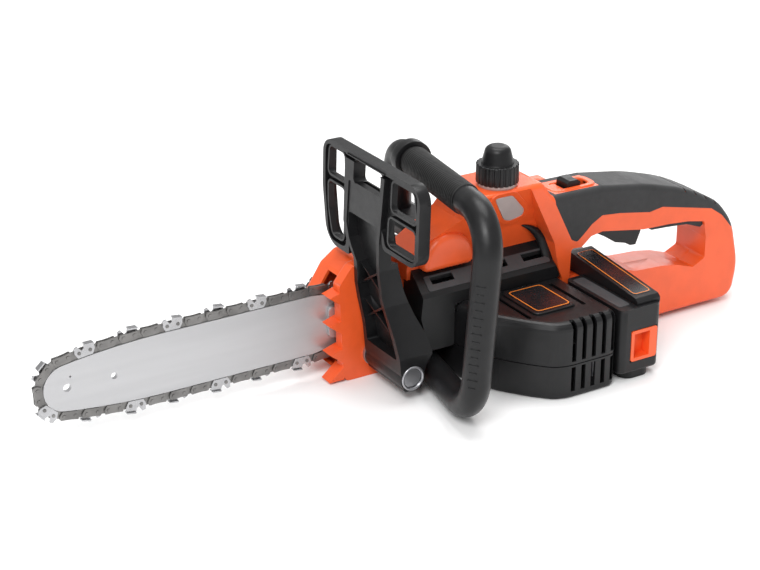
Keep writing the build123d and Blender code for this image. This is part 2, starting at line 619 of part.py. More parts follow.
HOOD_SIDE = [(-8, 99), (-12, 62), (-4, 30.4), (21, 30.4), (21, COVER_TOP_Z + 0.2), (129, COVER_TOP_Z + 0.2),
             (125, 78), (120, 99)]
HOOD_FRONT = [(-5, 20), (-5, 79), (-2, 82), (17.4, 96.5), (17.4, 87.6), (COVER_BACK_Y, 87.6), (COVER_BACK_Y, 20)]
HOOD_INNER = [(-2.5, 20), (-2.5, 78), (0, 80), (15, 91), (15, 85), (40, 85), (40, 20)]
with BuildPart() as vent_hood:
    with BuildSketch(front(-12)):
        add(shape(HOOD_FRONT))
    extrude(amount=142)
    add(slab(HOOD_SIDE, -10, 40, 2), mode=Mode.INTERSECT)
    with BuildSketch(front(-9)):
        add(shape(HOOD_INNER))
    extrude(amount=135.5, mode=Mode.SUBTRACT)
    for x in (4, 58, 96):
        add(block((x, 3, 78), (x + 22, 9, 100)), mode=Mode.SUBTRACT)
save(vent_hood, "vent_hood")

with BuildPart() as badge_plate:
    with BuildSketch(Plane.XY.offset(COVER_TOP_Z)):
        with Locations((85, -35)):
            RectangleRounded(42, 52, 6)
    extrude(amount=1.8)
    fillet(badge_plate.edges().group_by(Axis.Z)[-1], 0.8)
save(badge_plate, "badge_plate")

# ---------------------------------------------------------------- bail handle
BAIL = [(4, 23.4, 15), (-20, -95, 15), (-7, -95, 181), (24, 90, 175), (24, 90, 118)]
BAIL_BENDS = [30, 34, 16]
TOP_RUN = Vector(*BAIL[3]) - Vector(*BAIL[2])


def top_plane(distance):
    """Plane across the top tube, this far along it from the near corner."""
    return Plane(origin=Vector(*BAIL[2]) + TOP_RUN.normalized() * distance, z_dir=TOP_RUN.normalized())


with BuildPart() as bail_handle:
    with BuildLine() as bail_path:
        FilletPolyline(*BAIL, radius=BAIL_BENDS)
    with BuildSketch(Plane(origin=BAIL[0], z_dir=Vector(*BAIL[1]) - Vector(*BAIL[0]))):
        Circle(BAIL_R - 0.6)
    sweep()
save(bail_handle, "bail_handle")

with BuildPart() as bail_grip:
    with BuildSketch(top_plane(48)):
        Circle(BAIL_R + 0.6)
        Circle(BAIL_R - 0.55, mode=Mode.SUBTRACT)
    extrude(amount=104)
save(bail_grip, "bail_grip")

with BuildPart() as bail_collar:
    with BuildSketch(top_plane(153)):
        Circle(BAIL_R + 4)
        Circle(BAIL_R - 0.55, mode=Mode.SUBTRACT)
    extrude(amount=11)
    fillet(bail_collar.faces().sort_by(Axis.Y)[-1].edges(), 1.5)
save(bail_collar, "bail_collar")

with BuildPart() as bail_mount:
    add(slab([(4, 105), (4, 120), (12, 124), (36, 124), (44, 120), (44, 105)], RIGHT_Y, 98, 3))
    add(block((-10, 52, 104), (60, 76, 112)), mode=Mode.SUBTRACT)
    with Locations((24, 90, 121)):
        Cylinder(BAIL_R - 0.55, 8, mode=Mode.SUBTRACT)
save(bail_mount, "bail_mount")

# ---------------------------------------------------------------- hand guard
RIM = [(84, 203), (86, 160), (80, 111), (44, 111), (44, 150), (-5, 150), (-9, 134), (-61, 134), (-64, 203)]
RIM_RADII = [14, 60, 20, 2, 3, 3, 6, 14, 14]
WINDOWS = [
    [(50, 173), (51, 197), (74, 197), (77, 173)],
    [(54, 120), (51, 166), (77, 166), (77, 142), (71, 120)],
    [(-6, 178), (-8, 198), (33, 198), (35, 178)],
    [(-21, 172), (-23, 197), (-54, 197), (-57, 172)],
    [(-16, 141), (-18, 165), (-56, 165), (-55, 141)],
]
LEG_FACE = [(47, 200), (51, 140), (47, 126), (35, 112), (35, 76), (32.5, 50), (32.5, 6), (-24, 6), (-24, 40),
            (-10, 83), (-5, 113), (-5, 139), (-14, 200)]
LEG_INSIDE = [(42, 178), (46, 140), (42, 127), (30.5, 110), (30, 76), (28, 50), (28, 38), (-19, 38), (-5, 84),
              (-1, 113), (-1, 139), (-5, 178)]
LEG_SIDE = [(-53, 202), (-53, 120), (-52, 90), (-46, 55), (-43.5, 28), (-40, 10), (-24, 10), (-19, 30),
            (-13, 39), (-15, 52), (-24, 72), (-31, 92), (-36, 122), (-36, 202)]
LEG_HOLLOW = [(-60, 178), (-60, 38), (-34, 38), (-37, 60), (-42, 92), (-43, 122), (-43, 178)]
HUB_LOW_Y = -24.0
HUB_HIGH_Y = 32.5
def across(points, x_low, x_high, radius=0.0):
    """Solid with a Y-Z outline between two X planes."""
    with BuildPart(mode=Mode.PRIVATE) as solid:
        with BuildSketch(front(x_low)):
            add(shape(points, radius))
        extrude(amount=x_high - x_low)
    return solid.part


leg = slab(LEG_SIDE, -60, 60, 2) & across(LEG_FACE, -60, 0, 3)
leg = leg - (slab(LEG_HOLLOW, -60, 60) & across(LEG_INSIDE, -61, 0, 2))
braces = []
for low, high in ((52, 84), (84, 116)):
    braces.append(across([(-16, low), (-13, low), (46, high), (43, high)], -60, 0))
    braces.append(across([(40, low), (43, low), (-7, high), (-10, high)], -60, 0))
brace_side = [(-49, 122), (-48, 90), (-42, 55), (-38, 45), (-32, 45), (-35, 70), (-40, 95), (-41, 122)]
brace_space = slab(brace_side, -60, 60) & across(LEG_INSIDE, -60, 0)

with BuildPart() as hand_guard:
    with BuildSketch(front(-52)):
        add(shape(RIM, RIM_RADII))
    extrude(amount=6)
    with BuildSketch(front(-52)):
        add(shape(RIM, RIM_RADII))
        offset(amount=-4.5, mode=Mode.SUBTRACT)
    extrude(amount=16)
    add(leg)
    for brace in braces:
        add(brace & brace_space)
    for window in WINDOWS:
        add(across(window, -60, -30, 4), mode=Mode.SUBTRACT)
    add(rod(GUARD_X, GUARD_Z, 11.5, HUB_LOW_Y, HUB_HIGH_Y))
    add(rod(GUARD_X, GUARD_Z, 5.0 + RUNNING, HUB_LOW_Y - 1, HUB_HIGH_Y + 1), mode=Mode.SUBTRACT)
    add(rod(GUARD_X, GUARD_Z, 9.0, HUB_LOW_Y - 1, HUB_LOW_Y + 4), mode=Mode.SUBTRACT)
save(hand_guard, "hand_guard")

with BuildPart() as guard_pivot:
    add(rod(GUARD_X, GUARD_Z, 5.0, HUB_LOW_Y + 3.2, 36))
    add(rod(GUARD_X, GUARD_Z, 8.5, HUB_LOW_Y + 1.0, HUB_LOW_Y + 3.6))
save(guard_pivot, "guard_pivot")

with BuildPart() as pivot_washer:
    add(rod(GUARD_X, GUARD_Z, 12.0, 33.0, 36.0))
    add(rod(GUARD_X, GUARD_Z, 5.0, 32.0, 37.0), mode=Mode.SUBTRACT)
save(pivot_washer, "pivot_washer")

# ---------------------------------------------------------------- sprocket cover, knob and tension ring
COVER = [(-58, 3), (-71, 14), (-73, 70), (-58, 93), (-44, 103), (10, 103.5), (44, 93), (60, 68), (61, 34), (46, 11), (30, 3)]
COVER_OUT_Y = 84.0
KNOB_OUT_Y = 106.9
NUT_R = 8.0
with BuildPart() as sprocket_cover:
    with BuildSketch(side(COVER_OUT_Y)):
        add(shape(COVER, 8))
    extrude(amount=COVER_OUT_Y - RIGHT_Y - 0.3)
    fillet(sprocket_cover.faces().sort_by(Axis.Y)[-1].edges(), 5)
    with BuildSketch(side(COVER_OUT_Y - 2.5)):
        add(shape(COVER, 8))
        offset(amount=-2.5)
    extrude(amount=40, mode=Mode.SUBTRACT)
    add(block((-90, 45, 9), (-55, 66, 91)), mode=Mode.SUBTRACT)
    add(rod(STUD_X, BAR_Z, 10.5, 58.3, COVER_OUT_Y - 2))
    add(rod(STUD_X, BAR_Z, NUT_R + 0.4, 58.0, COVER_OUT_Y + 1), mode=Mode.SUBTRACT)
    for height in (30, 70):
        add(block((4, COVER_OUT_Y - 5, height - 2), (52, COVER_OUT_Y + 1, height + 2)), mode=Mode.SUBTRACT)
save(sprocket_cover, "sprocket_cover")

with BuildPart() as tension_ring:
    with BuildSketch(side(COVER_OUT_Y + 9)):
        with Locations((STUD_X, BAR_Z)):
            Circle(33)
            with PolarLocations(33.6, 36):
                Circle(1.4, mode=Mode.SUBTRACT)
            Circle(27.5, mode=Mode.SUBTRACT)
    extrude(amount=8.6)
save(tension_ring, "tension_ring")

with BuildPart() as lock_knob:
    with BuildSketch(side(COVER_OUT_Y + 12)):
        with Locations((STUD_X, BAR_Z)):
            Circle(27)
    extrude(amount=11.6)
    fillet(lock_knob.faces().sort_by(Axis.Y)[-1].edges(), 3)
    with BuildSketch(side(KNOB_OUT_Y)):
        with Locations((STUD_X, BAR_Z)):
            SlotOverall(50, 13, rotation=30)
    extrude(amount=KNOB_OUT_Y - COVER_OUT_Y - 11)
    fillet(lock_knob.faces().sort_by(Axis.Y)[-1].edges(), 2.5)
    add(rod(STUD_X, BAR_Z, NUT_R, 80, 96), mode=Mode.SUBTRACT)
save(lock_knob, "lock_knob")

with BuildPart() as knob_nut:
    add(rod(STUD_X, BAR_Z, NUT_R, 61, 96))
    add(rod(STUD_X, BAR_Z, 4.0 + RUNNING, 60, 92), mode=Mode.SUBTRACT)
save(knob_nut, "knob_nut")

with BuildPart() as bar_stud:
    add(rod(STUD_X, BAR_Z, 4.0, 44, 86))
    add(rod(STUD_X, BAR_Z, 8.0, 45.9, 47.0))
save(bar_stud, "bar_stud")

with BuildPart() as bar_pad:
    add(slab([(-68, 36), (-68, 64), (-14, 64), (-14, 36)], RIGHT_Y, BAR_Y - BAR_THICK / 2 - 0.05, 4))
    add(rod(STUD_X, BAR_Z, 4.0, 45, 60), mode=Mode.SUBTRACT)
save(bar_pad, "bar_pad")

BAR_OUT_Y = BAR_Y + BAR_THICK / 2
with BuildPart() as tension_slider:
    add(slab([(TENSION_X - 6, 44), (TENSION_X - 6, 56), (TENSION_X + 7, 56), (TENSION_X + 7, 44)],
             BAR_OUT_Y, BAR_OUT_Y + 2.5, 2))
    add(rod(TENSION_X, BAR_Z, 2.55, BAR_Y - 1.5, BAR_OUT_Y + 1))
save(tension_slider, "tension_slider")

# ---------------------------------------------------------------- oil system
TANK = [(44, 114), (44, 136), (56, 149), (101, 149), (110, 138), (117, 118), (117, 112)]
with BuildPart() as oil_tank:
    add(slab(TANK, -2.5, 46, 3) - lean(WALL + 0.4))
    add(slab([(46.5, 116.5), (46.5, 135), (57, 146.5), (100, 146.5), (108, 137), (114.5, 117)], -0.5, 43.5, 2)
        - lean(WALL + 3), mode=Mode.SUBTRACT)
    add(Pos(CAP_X, CAP_Y, 156) * Cylinder(12.9, 16, mode=Mode.PRIVATE))
    add(Pos(CAP_X, CAP_Y, 154) * Cylinder(10.5, 30, mode=Mode.PRIVATE), mode=Mode.SUBTRACT)
    add((slab([(61, 149.2), (76, 152), (95.6, 130), (91, 122.2), (80, 125)], LEFT_Y - 5, 14, 2)
         & lean(WALL + 0.4)) - lean(0.3))
save(oil_tank, "oil_tank")

with BuildPart() as oil_pump:
    add(block((-42, 40, 86), (-24, 46.5, 97)))
    add(rod(-33, 91, 3.5, 46.5, 46.9))
save(oil_pump, "oil_pump")

with BuildPart() as oil_hose:
    with BuildLine() as hose_path:
        FilletPolyline((52, 30, 111.9), (52, 30, 103), (24, 43, 101), (-23.5, 43, 94), radius=5)
    with BuildSketch(Plane(origin=(52, 30, 111.9), z_dir=(0, 0, -1))):
        Circle(2.4)
    sweep()
save(oil_hose, "oil_hose")

CAP_SEAT_Z = 164.0
with BuildPart() as oil_cap:
    with BuildSketch(Plane.XY.offset(CAP_SEAT_Z - 3)):
        with Locations((CAP_X, CAP_Y)):
            Circle(18)
            with PolarLocations(18.3, 24):
                Circle(1.2, mode=Mode.SUBTRACT)
    extrude(amount=16)
    fillet(oil_cap.faces().sort_by(Axis.Z)[-1].edges(), 1.0)
    with BuildSketch(Plane.XY.offset(CAP_SEAT_Z + 12)):
        with Locations((CAP_X, CAP_Y)):
            Circle(14)
    extrude(amount=16, taper=14)
    fillet(oil_cap.faces().sort_by(Axis.Z)[-1].edges(), 6)
    with Locations((CAP_X, CAP_Y, CAP_SEAT_Z - 1.0)):
        Cylinder(13.4, 6, mode=Mode.SUBTRACT)
save(oil_cap, "oil_cap")

with BuildPart() as cap_seal:
    with Locations((CAP_X, CAP_Y, CAP_SEAT_Z - 4)):
        Cylinder(16.5, 1.9)
        Cylinder(13.3, 4, mode=Mode.SUBTRACT)
save(cap_seal, "cap_seal")

with BuildPart() as cap_retainer:
    with Locations((CAP_X, CAP_Y, CAP_SEAT_Z - 3)):
        Cylinder(9.5, 8)
        Cylinder(7, 20, mode=Mode.SUBTRACT)
    with Locations((CAP_X, CAP_Y, CAP_SEAT_Z - 10)):
        Cylinder(4, 8)
        Cylinder(9.5, 1.5)
save(cap_retainer, "cap_retainer")

# ---------------------------------------------------------------- trigger and lock-off
TRIGGER = [(163, 100), (165, 94), (176, 93.5), (186, 88), (196, 81), (207, 78), (213, 74.5), (219, 74), (224, 86),
           (224, 99.5), (190, 103), (170, 106), (164, 105)]
with BuildPart() as trigger:
    add(slab(TRIGGER, 6.5, 21.5, 1.5))
    add(rod(*TRIGGER_PIVOT, 1.5 + RUNNING, 0, 30), mode=Mode.SUBTRACT)
save(trigger, "trigger")

with BuildPart() as trigger_pin:
    add(rod(*TRIGGER_PIVOT, 1.5, 2.5, 25.5))
save(trigger_pin, "trigger_pin")

with BuildPart() as trigger_switch:
    add(block((176, 5.5, 111), (212, 22.5, 124)))
    add(block((196, 11, 108), (202, 17, 111)))
save(trigger_switch, "trigger_switch")

with BuildPart() as lock_off_button:
    add(slab([(141, 136.5), (141, 146.5), (144, 148.5), (152, 148.5), (155, 146.5), (155, 136.5)], 6.5, 21.5, 1.2))
    add(block((139.5, 6.5, 130), (156.5, 21.5, 136.6)))
save(lock_off_button, "lock_off_button")

# The trigger's spring stands under the switch; the lock-off button's lies ahead of the button.


def coil(start, direction, radius, wire, length, turns):
    """Coil spring as a swept helix."""
    with BuildPart(mode=Mode.PRIVATE) as spring:
        with BuildLine() as turns_path:
            Helix(pitch=length / turns, height=length, radius=radius)
        with BuildSketch(Plane(origin=turns_path.line @ 0, z_dir=turns_path.line % 0)):
            Circle(wire)
        sweep()
    return Plane(origin=start, z_dir=direction).location * spring.part


with BuildPart() as trigger_spring:
    add(coil((216, 14, 101.0), (0, 0, 1), 3.0, 0.5, 9.0, 5))
save(trigger_spring, "trigger_spring")

with BuildPart() as lock_off_spring:
    add(coil((157.2, 14, 133.0), (1, 0, 0), 2.2, 0.35, 6.6, 4))
save(lock_off_spring, "lock_off_spring")

# ---------------------------------------------------------------- battery
PACK_LOW = (132, -88, 7)
PACK_HIGH = (174, -8, 66)
PACK_WALL = 2.0
STALK_X = (150.5, 174.5)
LATCH_LOW = (143, 17.5)
LATCH_HIGH = (170, 45.5)
LATCH_DEPTH = 12.0
pack_x = (PACK_LOW[0] + PACK_HIGH[0]) / 2
pack_y = (PACK_LOW[1] + PACK_HIGH[1]) / 2
with BuildPart() as battery_case:
    with BuildSketch(Plane.XY.offset(PACK_LOW[2])):
        with Locations((pack_x, pack_y)):
            RectangleRounded(PACK_HIGH[0] - PACK_LOW[0], PACK_HIGH[1] - PACK_LOW[1], 6)
    extrude(amount=PACK_HIGH[2] - PACK_LOW[2] - 2)
    fillet(battery_case.edges().group_by(Axis.Z)[0], 3)
    with BuildSketch(Plane.XY.offset(PACK_LOW[2] + PACK_WALL)):
        with Locations((pack_x, pack_y)):
            RectangleRounded(PACK_HIGH[0] - PACK_LOW[0] - 4, PACK_HIGH[1] - PACK_LOW[1] - 4, 4)
    extrude(amount=80, mode=Mode.SUBTRACT)
    add(block((LATCH_LOW[0] - 2, -86.5, LATCH_LOW[1] - 2), (LATCH_HIGH[0] + 2, -68, LATCH_HIGH[1] + 2)))
    add(block((LATCH_LOW[0] - 0.5, -90, LATCH_LOW[1] - 0.5), (LATCH_HIGH[0] + 0.5, -70, LATCH_HIGH[1] + 0.5)),
        mode=Mode.SUBTRACT)
    with BuildSketch(Plane.XY):
        with Locations((154, -72)):
            RectangleRounded(28, 26, 9)
    extrude(amount=8)
save(battery_case, "battery_case")

STALK_SIDE = [(-84, 64), (-84, 69), (-81, 71.5), (12, 80.5), (16, 78.5), (16, 64)]
with BuildPart() as battery_top:
    with BuildSketch(Plane.XY.offset(PACK_HIGH[2] - 2)):
        with Locations((pack_x, pack_y)):
            RectangleRounded(PACK_HIGH[0] - PACK_LOW[0], PACK_HIGH[1] - PACK_LOW[1], 6)
    extrude(amount=2)
    with BuildSketch(front(STALK_X[0])):
        add(shape(STALK_SIDE, 1.5))
    extrude(amount=STALK_X[1] - STALK_X[0])
    add(block((STALK_X[0] + 2, -80, 60), (STALK_X[1] - 2, 13.5, 68.5)), mode=Mode.SUBTRACT)
save(battery_top, "battery_top")

CELL_R = 8.95
with BuildPart() as battery_cells:
    for x, z in ((143.2, 18.2), (162.2, 18.2), (143.2, 36.4), (162.2, 36.4), (143.2, 54.6)):
        add(rod(x, z, CELL_R, -66, -14.2))
save(battery_cells, "battery_cells")

with BuildPart() as battery_contacts:
    for x in (156, 162.5, 169):
        add(block((x - 0.5, -5, 64.8), (x + 0.5, 13, 68.2)))
save(battery_contacts, "battery_contacts")

with BuildPart() as battery_latch:
    add(block((LATCH_LOW[0], -88.4, LATCH_LOW[1]), (LATCH_HIGH[0], -88.4 + LATCH_DEPTH, LATCH_HIGH[1])))
    fillet(battery_latch.edges().filter_by(Axis.Y), 2.5)
    add(block((LATCH_LOW[0] + 3, -90, LATCH_LOW[1] + 3), (LATCH_HIGH[0] - 8, -78.5, LATCH_HIGH[1] - 3)),
        mode=Mode.SUBTRACT)
save(battery_latch, "battery_latch")

with BuildPart() as latch_spring:
    add(coil((165, -75.85, 31.5), (0, 1, 0), 3.2, 0.35, 5.1, 3))
save(latch_spring, "latch_spring")

with BuildPart() as terminal_block:
    add(block((152, 17.2, 62.9), (173, 33, 76)))
    for x in (156, 162.5, 169):
        add(block((x - 1.2, 15, 64), (x + 1.2, 27, 70)), mode=Mode.SUBTRACT)
save(terminal_block, "terminal_block")

# ---------------------------------------------------------------- electrics and screws
with BuildPart() as control_board:
    add(block((200, -1, 14), (260, 1, 38)))
    for x in (212, 226, 240):
        add(rod(x, 26, 4, 1, 10))
save(control_board, "control_board")

with BuildPart() as screws:
    for x, z, face_y in HOUSING_SCREWS:
        add(rod(x, z, 1.8, face_y - 18, face_y))
        add(rod(x, z, 3.6, face_y - 2, face_y))
    with Locations(*[(x, y, 10.5) for x, y in COVER_SCREWS]):
        Cylinder(1.8, 18)
    with Locations(*[(x, y, 1.5) for x, y in COVER_SCREWS]):
        Cylinder(3.4, 2)
save(screws, "screws")
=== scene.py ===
import json
import math

import bmesh
import bpy
from mathutils import Matrix, Vector


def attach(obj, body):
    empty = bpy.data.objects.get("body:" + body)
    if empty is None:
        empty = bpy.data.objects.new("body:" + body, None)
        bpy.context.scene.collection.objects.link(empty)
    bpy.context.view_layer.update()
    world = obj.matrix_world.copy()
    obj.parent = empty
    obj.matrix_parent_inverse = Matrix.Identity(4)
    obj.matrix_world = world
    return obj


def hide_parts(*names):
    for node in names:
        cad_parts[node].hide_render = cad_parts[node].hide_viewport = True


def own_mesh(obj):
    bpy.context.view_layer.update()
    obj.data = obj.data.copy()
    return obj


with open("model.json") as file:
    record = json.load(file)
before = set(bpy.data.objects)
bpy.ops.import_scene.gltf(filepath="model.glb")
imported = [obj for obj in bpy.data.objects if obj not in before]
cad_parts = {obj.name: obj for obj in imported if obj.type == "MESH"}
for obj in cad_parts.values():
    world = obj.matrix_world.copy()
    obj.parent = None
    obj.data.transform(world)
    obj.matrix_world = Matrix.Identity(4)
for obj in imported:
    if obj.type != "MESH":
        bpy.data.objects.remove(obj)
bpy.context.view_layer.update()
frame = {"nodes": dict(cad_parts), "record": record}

MM = 0.001

# ---------------------------------------------------------------- sizes, in millimetres in the CAD frame
# A box is its width, height and corner radius. LEVELS are a plate's bottom and top, measured from its place.

# front handle: the corners of its tubes and their radius
BAIL_NEAR = Vector((-7, -95, 181))
BAIL_FAR = Vector((24, 90, 175))
BAIL_LOW = Vector((-20, -95, 15))
TUBE_R = 11.9

# ribbed sleeve along the top tube
GRIP_START = 48
GRIP_LENGTH = 104
GRIP_R = 13.05
GRIP_PLAIN = 1.5
GRIP_STEP = 1.5
GRIP_ROUND = 0.3
RIBS = 34
RIB_DEPTH = 0.45

# tick marks on the near tube, short and long in turn
TICKS = 14
TICK_START = 28
TICK_STEP = 6.6
TICK_LENGTHS = (6.5, 9.0)
TICK_WIDTH = 1.3
TICK_CORNER = 0.6
TICK_SINK = 0.35
TICK_LEVELS = (0.0, 0.75)
TICK_FACING = Vector((-0.80, -0.60, 0.06))

# bulge on the near face: a flattened half oval
BULGE_X = 22
BULGE_BASE_Z = 96
BULGE_HALF_WIDTH = 25
BULGE_RISE = 31
BULGE_FLATNESS = 0.8
BULGE_STEPS = 24
BULGE_LEVELS = (-22, -4)
BULGE_EDGE = 7

# rim round the lock-off button
LOCK_RIM_PLACE = (148, 14, 142)
LOCK_RIM_OUTER = (46, 25, 10)
LOCK_RIM_INNER = (34, 15, 6)
LOCK_RIM_LEVELS = (-3, 1.4)

# hand guard, front face at X -52: outlines in Y-Z, anticlockwise, and how far each reaches along X
GUARD_RIM = [(84, 203), (-64, 203), (-61, 134), (-9, 134), (-5, 150), (44, 150), (44, 111), (80, 111),
             (86, 160)]
GUARD_WINDOWS = [
    [(50, 173), (77, 173), (74, 197), (51, 197)],
    [(54, 120), (71, 120), (77, 142), (77, 166), (51, 166)],
    [(-6, 178), (35, 178), (33, 198), (-8, 198)],
    [(-23, 197), (-54, 197), (-57, 172), (-21, 172)],
    [(-18, 165), (-56, 165), (-55, 141), (-16, 141)],
]
GUARD_COLUMN = [(-24, 60), (42, 60), (47, 126), (51, 140), (47.5, 196), (-13.5, 196), (-5, 139), (-5, 113)]
GUARD_BEHIND = [(-80, 130), (100, 100), (100, 215), (-80, 215)]
GUARD_CORNER = 13
GUARD_LIP = 4.0
WINDOW_CORNER = 5
WINDOW_LIP = 2.0
POCKET_X = (-54, -47.6)
WINDOW_X = (-51.4, -32)
COLUMN_X = (-56, -32)
BEHIND_X = (-41.5, -12)
GUARD_PIVOT = (-32, -24, 21)
PIVOT_RING = [(10.6, -0.4), (10.8, 0.5), (10.2, 1.2), (9.2, 1.2), (8.6, 0.4), (8.4, -0.4)]

# motor covers: the outline in plan, the seam between them, and the slots along Y
COVER_PLAN = [(17, 25.6), (22, -4), (33, -41), (53, -69), (67, -84), (79, -88), (130, -88), (130, 25.6)]
COVER_CORNER = 12
COVER_CORNER_STEPS = 6
COVER_WALL = 2.4
COVER_EDGE = 0.7
COVER_TOP_Z = 68.0
COVER_TOP_ROUND = 7
COVER_FLOOR_ROUND = 3
UPPER_SEAM_Z = 30.6
LOWER_SEAM_Z = 29.8
FLUTES_X = (84, 94, 104, 114, 124)
FLUTE_Y = (-96, -80.5)
FLUTE_WIDTH = 4.2
UPPER_FLUTE_Z = (33, 75)
LOWER_FLUTE_Z = (6, 28)
TOP_SLOTS_X = (57.5, 112.5)
TOP_SLOT_Y = (-62, -12)
TOP_SLOT_WIDTH = 3.6
TOP_SLOT_Z = (64, 75)
HOOD_NOTCH = ((5, -5, 60), (126.5, 40, 75))

# screws: x, z and the y of their face on the housing, x and y under the motor cover; and their star recess
HOUSING_SCREWS = [(306, 22, 34), (304, 62, 34), (215, 28, 34), (117, 30, 50), (28, 118, 50)]
COVER_SCREWS = [(36, 8), (120, 8), (121, -66)]
COVER_SCREW_Z = 0.5
STAR = [(1.95, -0.2), (1.95, 0.06), (1.7, 0.09)]
STAR_STEPS = 36
STAR_POINTS = 6
STAR_DENT = 0.55

# vent hood: the fin's line and half widths, its screw boss, the liner and the strip on its sloping top, a
# grey plate that paints a highlight there
FIN_LINE = [(98, 11.5, 116.4), (107, 11.5, 112.8), (114, 11.5, 107.0), (119.5, 11, 100.5), (122.5, 9, 94),
            (123, 6, 87), (122, 2, 79)]
FIN_WIDTHS = [0.6, 2.6, 4.4, 5.8, 6.8, 7.0, 6.0]
FIN_DEPTH = 0.6
FIN_SIDES = 8
BOSS_PLACE = (124, 12, 92)
BOSS_FACING = Vector((0.1, -0.6, 0.8))
BOSS = [(3.6, -3), (3.6, 0.6), (3.0, 1.2), (2.0, 1.2), (1.6, 0.4)]
LINER = [(-4, 12.4), (122, 12.4), (122, 13.4), (-4, 13.4)]
LINER_LEVELS = (70, 88.5)
STRIP_PLACE = (0, -2, 82)
STRIP_SLOPE = Vector((0, 19.4, 14.5))
STRIP = [(-2, 0.8), (121, 0.8), (119, 15.5), (-1, 15.5)]
STRIP_CORNER = 2
STRIP_LEVELS = (-0.4, 0.6)
HOOD_SLOTS_X = (4, 58, 96)
HOOD_SLOT_LENGTH = 22
HOOD_SLOT_Y = (3, 9)
HOOD_SLOT_Z = (70, 110)

# oil tank: the seal under its cap, and the window's outline in X-Z on the leaning near face
NECK_PLACE = (74, 14, 157)
NECK = [(15.4, 0), (16.8, 0.6), (16.8, 4.2), (16.0, 5.0), (14.5, 5.0)]
LEAN_PLACE = (0, -6, 157)
LEAN_SLOPE = Vector((0, -18, 39))
WINDOW_PANE = [(77, 127), (84, 124), (96.5, 127.5), (96, 134), (77, 153.5), (59, 153.5)]
PANE_CORNER = 4
PANE_GAP = 0.25
PANE_LEVELS = (-0.6, 0.35)
FRAME_WIDTH = 4.5
FRAME_LEVELS = (-0.6, 0.5)

# blank badge on the motor cover
BADGE_PLACE = (85, -35, 69.8)
BADGE_FILM = (36, 46, 5)
BADGE_FILM_LEVELS = (-0.3, 0.25)
BADGE_LINE_OUTER = (34, 44, 4.5)
BADGE_LINE_INNER = (32, 42, 3.6)
BADGE_LINE_LEVELS = (0.1, 0.4)

# battery: the low and high ends of its sloping top, the blank label there and the panel beside it
STALK_LOW = Vector((162.5, -81, 71.5))
STALK_HIGH = Vector((162.5, 12, 80.5))
BATTERY_FILM = (19, 84, 4)
BATTERY_FILM_LEVELS = (-0.3, 0.3)
BATTERY_LINE_OUTER = (17.5, 82, 3.4)
BATTERY_LINE_INNER = (16, 80.5, 2.8)
BATTERY_LINE_LEVELS = (0.2, 0.45)
LEDGE_PLACE = (141.5, -46, 66)
LEDGE = (12, 66, 3)
LEDGE_LEVELS = (-0.2, 0.35)

# each spring's body and joint, where it starts and which way it runs, its radius, wire radius, length and
# turns, and the share of its length that is left when the joint is at its limit
SPRINGS = {
    "trigger_spring": ("chassis", "trigger_pull", (216, 14, 101), (0, 0, 1), (3.0, 0.5, 9.0, 5), 0.3),
    "lock_off_spring": ("chassis", "lock_off_slide", (157.2, 14, 133), (1, 0, 0), (2.2, 0.35, 6.6, 4), 0.5),
    "latch_spring": ("battery", "battery_latch_push", (165, -75.85, 31.5), (0, 1, 0), (3.2, 0.35, 5.1, 3),
                     0.4),
}
COIL_STEPS = 20
WIRE_SIDES = 8

# rounded edges of the CAD nodes, by material slot
EDGE_MM = {"chain_steel": 0.15, "cutter_steel": 0.15, "gear_steel": 0.2, "bar_steel": 0.3, "brass": 0.2}
OTHER_EDGE_MM = 0.6
CRISP = ("guide_bar",)                 # flat plate: a bevel would crease its faces round the holes
SHARP = math.radians(32)
SAME_POINT = 0.005

# floor, light and camera, in metres
FLOOR_HALF = 6.0
FLOOR_Z = -0.0002
WORLD_STRENGTH = 0.55
CAMERA_PLACE = Vector((-0.8217, -1.2611, 0.7580))
CAMERA_RIGHT = Vector((0.8526, -0.5225, 0.0))
CAMERA_BACK = Vector((-0.4773, -0.7789, 0.4067))
CAMERA_LENS = 94.74


# ---------------------------------------------------------------- materials
def shader_of(made):
    return made.node_tree.nodes["Principled BSDF"]


def socket_value(shader, name, value):
    shader.inputs[name].default_value = value


def noise(tree, scale, detail, stretch):
    """Noise in the object's own space, in cycles per metre."""
    place = tree.nodes.new("ShaderNodeTexCoord")
    mapping = tree.nodes.new("ShaderNodeMapping")
    texture = tree.nodes.new("ShaderNodeTexNoise")
    mapping.inputs["Scale"].default_value = stretch
    texture.inputs["Scale"].default_value = scale
    texture.inputs["Detail"].default_value = detail
    tree.links.new(place.outputs["Object"], mapping.inputs["Vector"])
    tree.links.new(mapping.outputs["Vector"], texture.inputs["Vector"])
    return texture.outputs["Fac"]


def spread(tree, value, low, high, target):
    """The value from 0.3 to 0.7 becomes low to high on the target socket."""
    made = tree.nodes.new("ShaderNodeMapRange")
    made.inputs["From Min"].default_value = 0.3
    made.inputs["From Max"].default_value = 0.7
    made.inputs["To Min"].default_value = low
    made.inputs["To Max"].default_value = high
    tree.links.new(value, made.inputs["Value"])
    tree.links.new(made.outputs["Result"], target)


def shades(tree, value, dark, light, target):
    """The value from 0.3 to 0.7 becomes a colour from dark to light."""
    ramp = tree.nodes.new("ShaderNodeValToRGB")
    ramp.color_ramp.elements[0].position = 0.3
    ramp.color_ramp.elements[1].position = 0.7
    ramp.color_ramp.elements[0].color = (*dark, 1)
    ramp.color_ramp.elements[1].color = (*light, 1)
    tree.links.new(value, ramp.inputs["Fac"])
    tree.links.new(ramp.outputs["Color"], target)


def relief(tree, value, depth_mm, shader):
    bump = tree.nodes.new("ShaderNodeBump")
    bump.inputs["Distance"].default_value = depth_mm * MM
    tree.links.new(value, bump.inputs["Height"])
    tree.links.new(bump.outputs["Normal"], shader.inputs["Normal"])


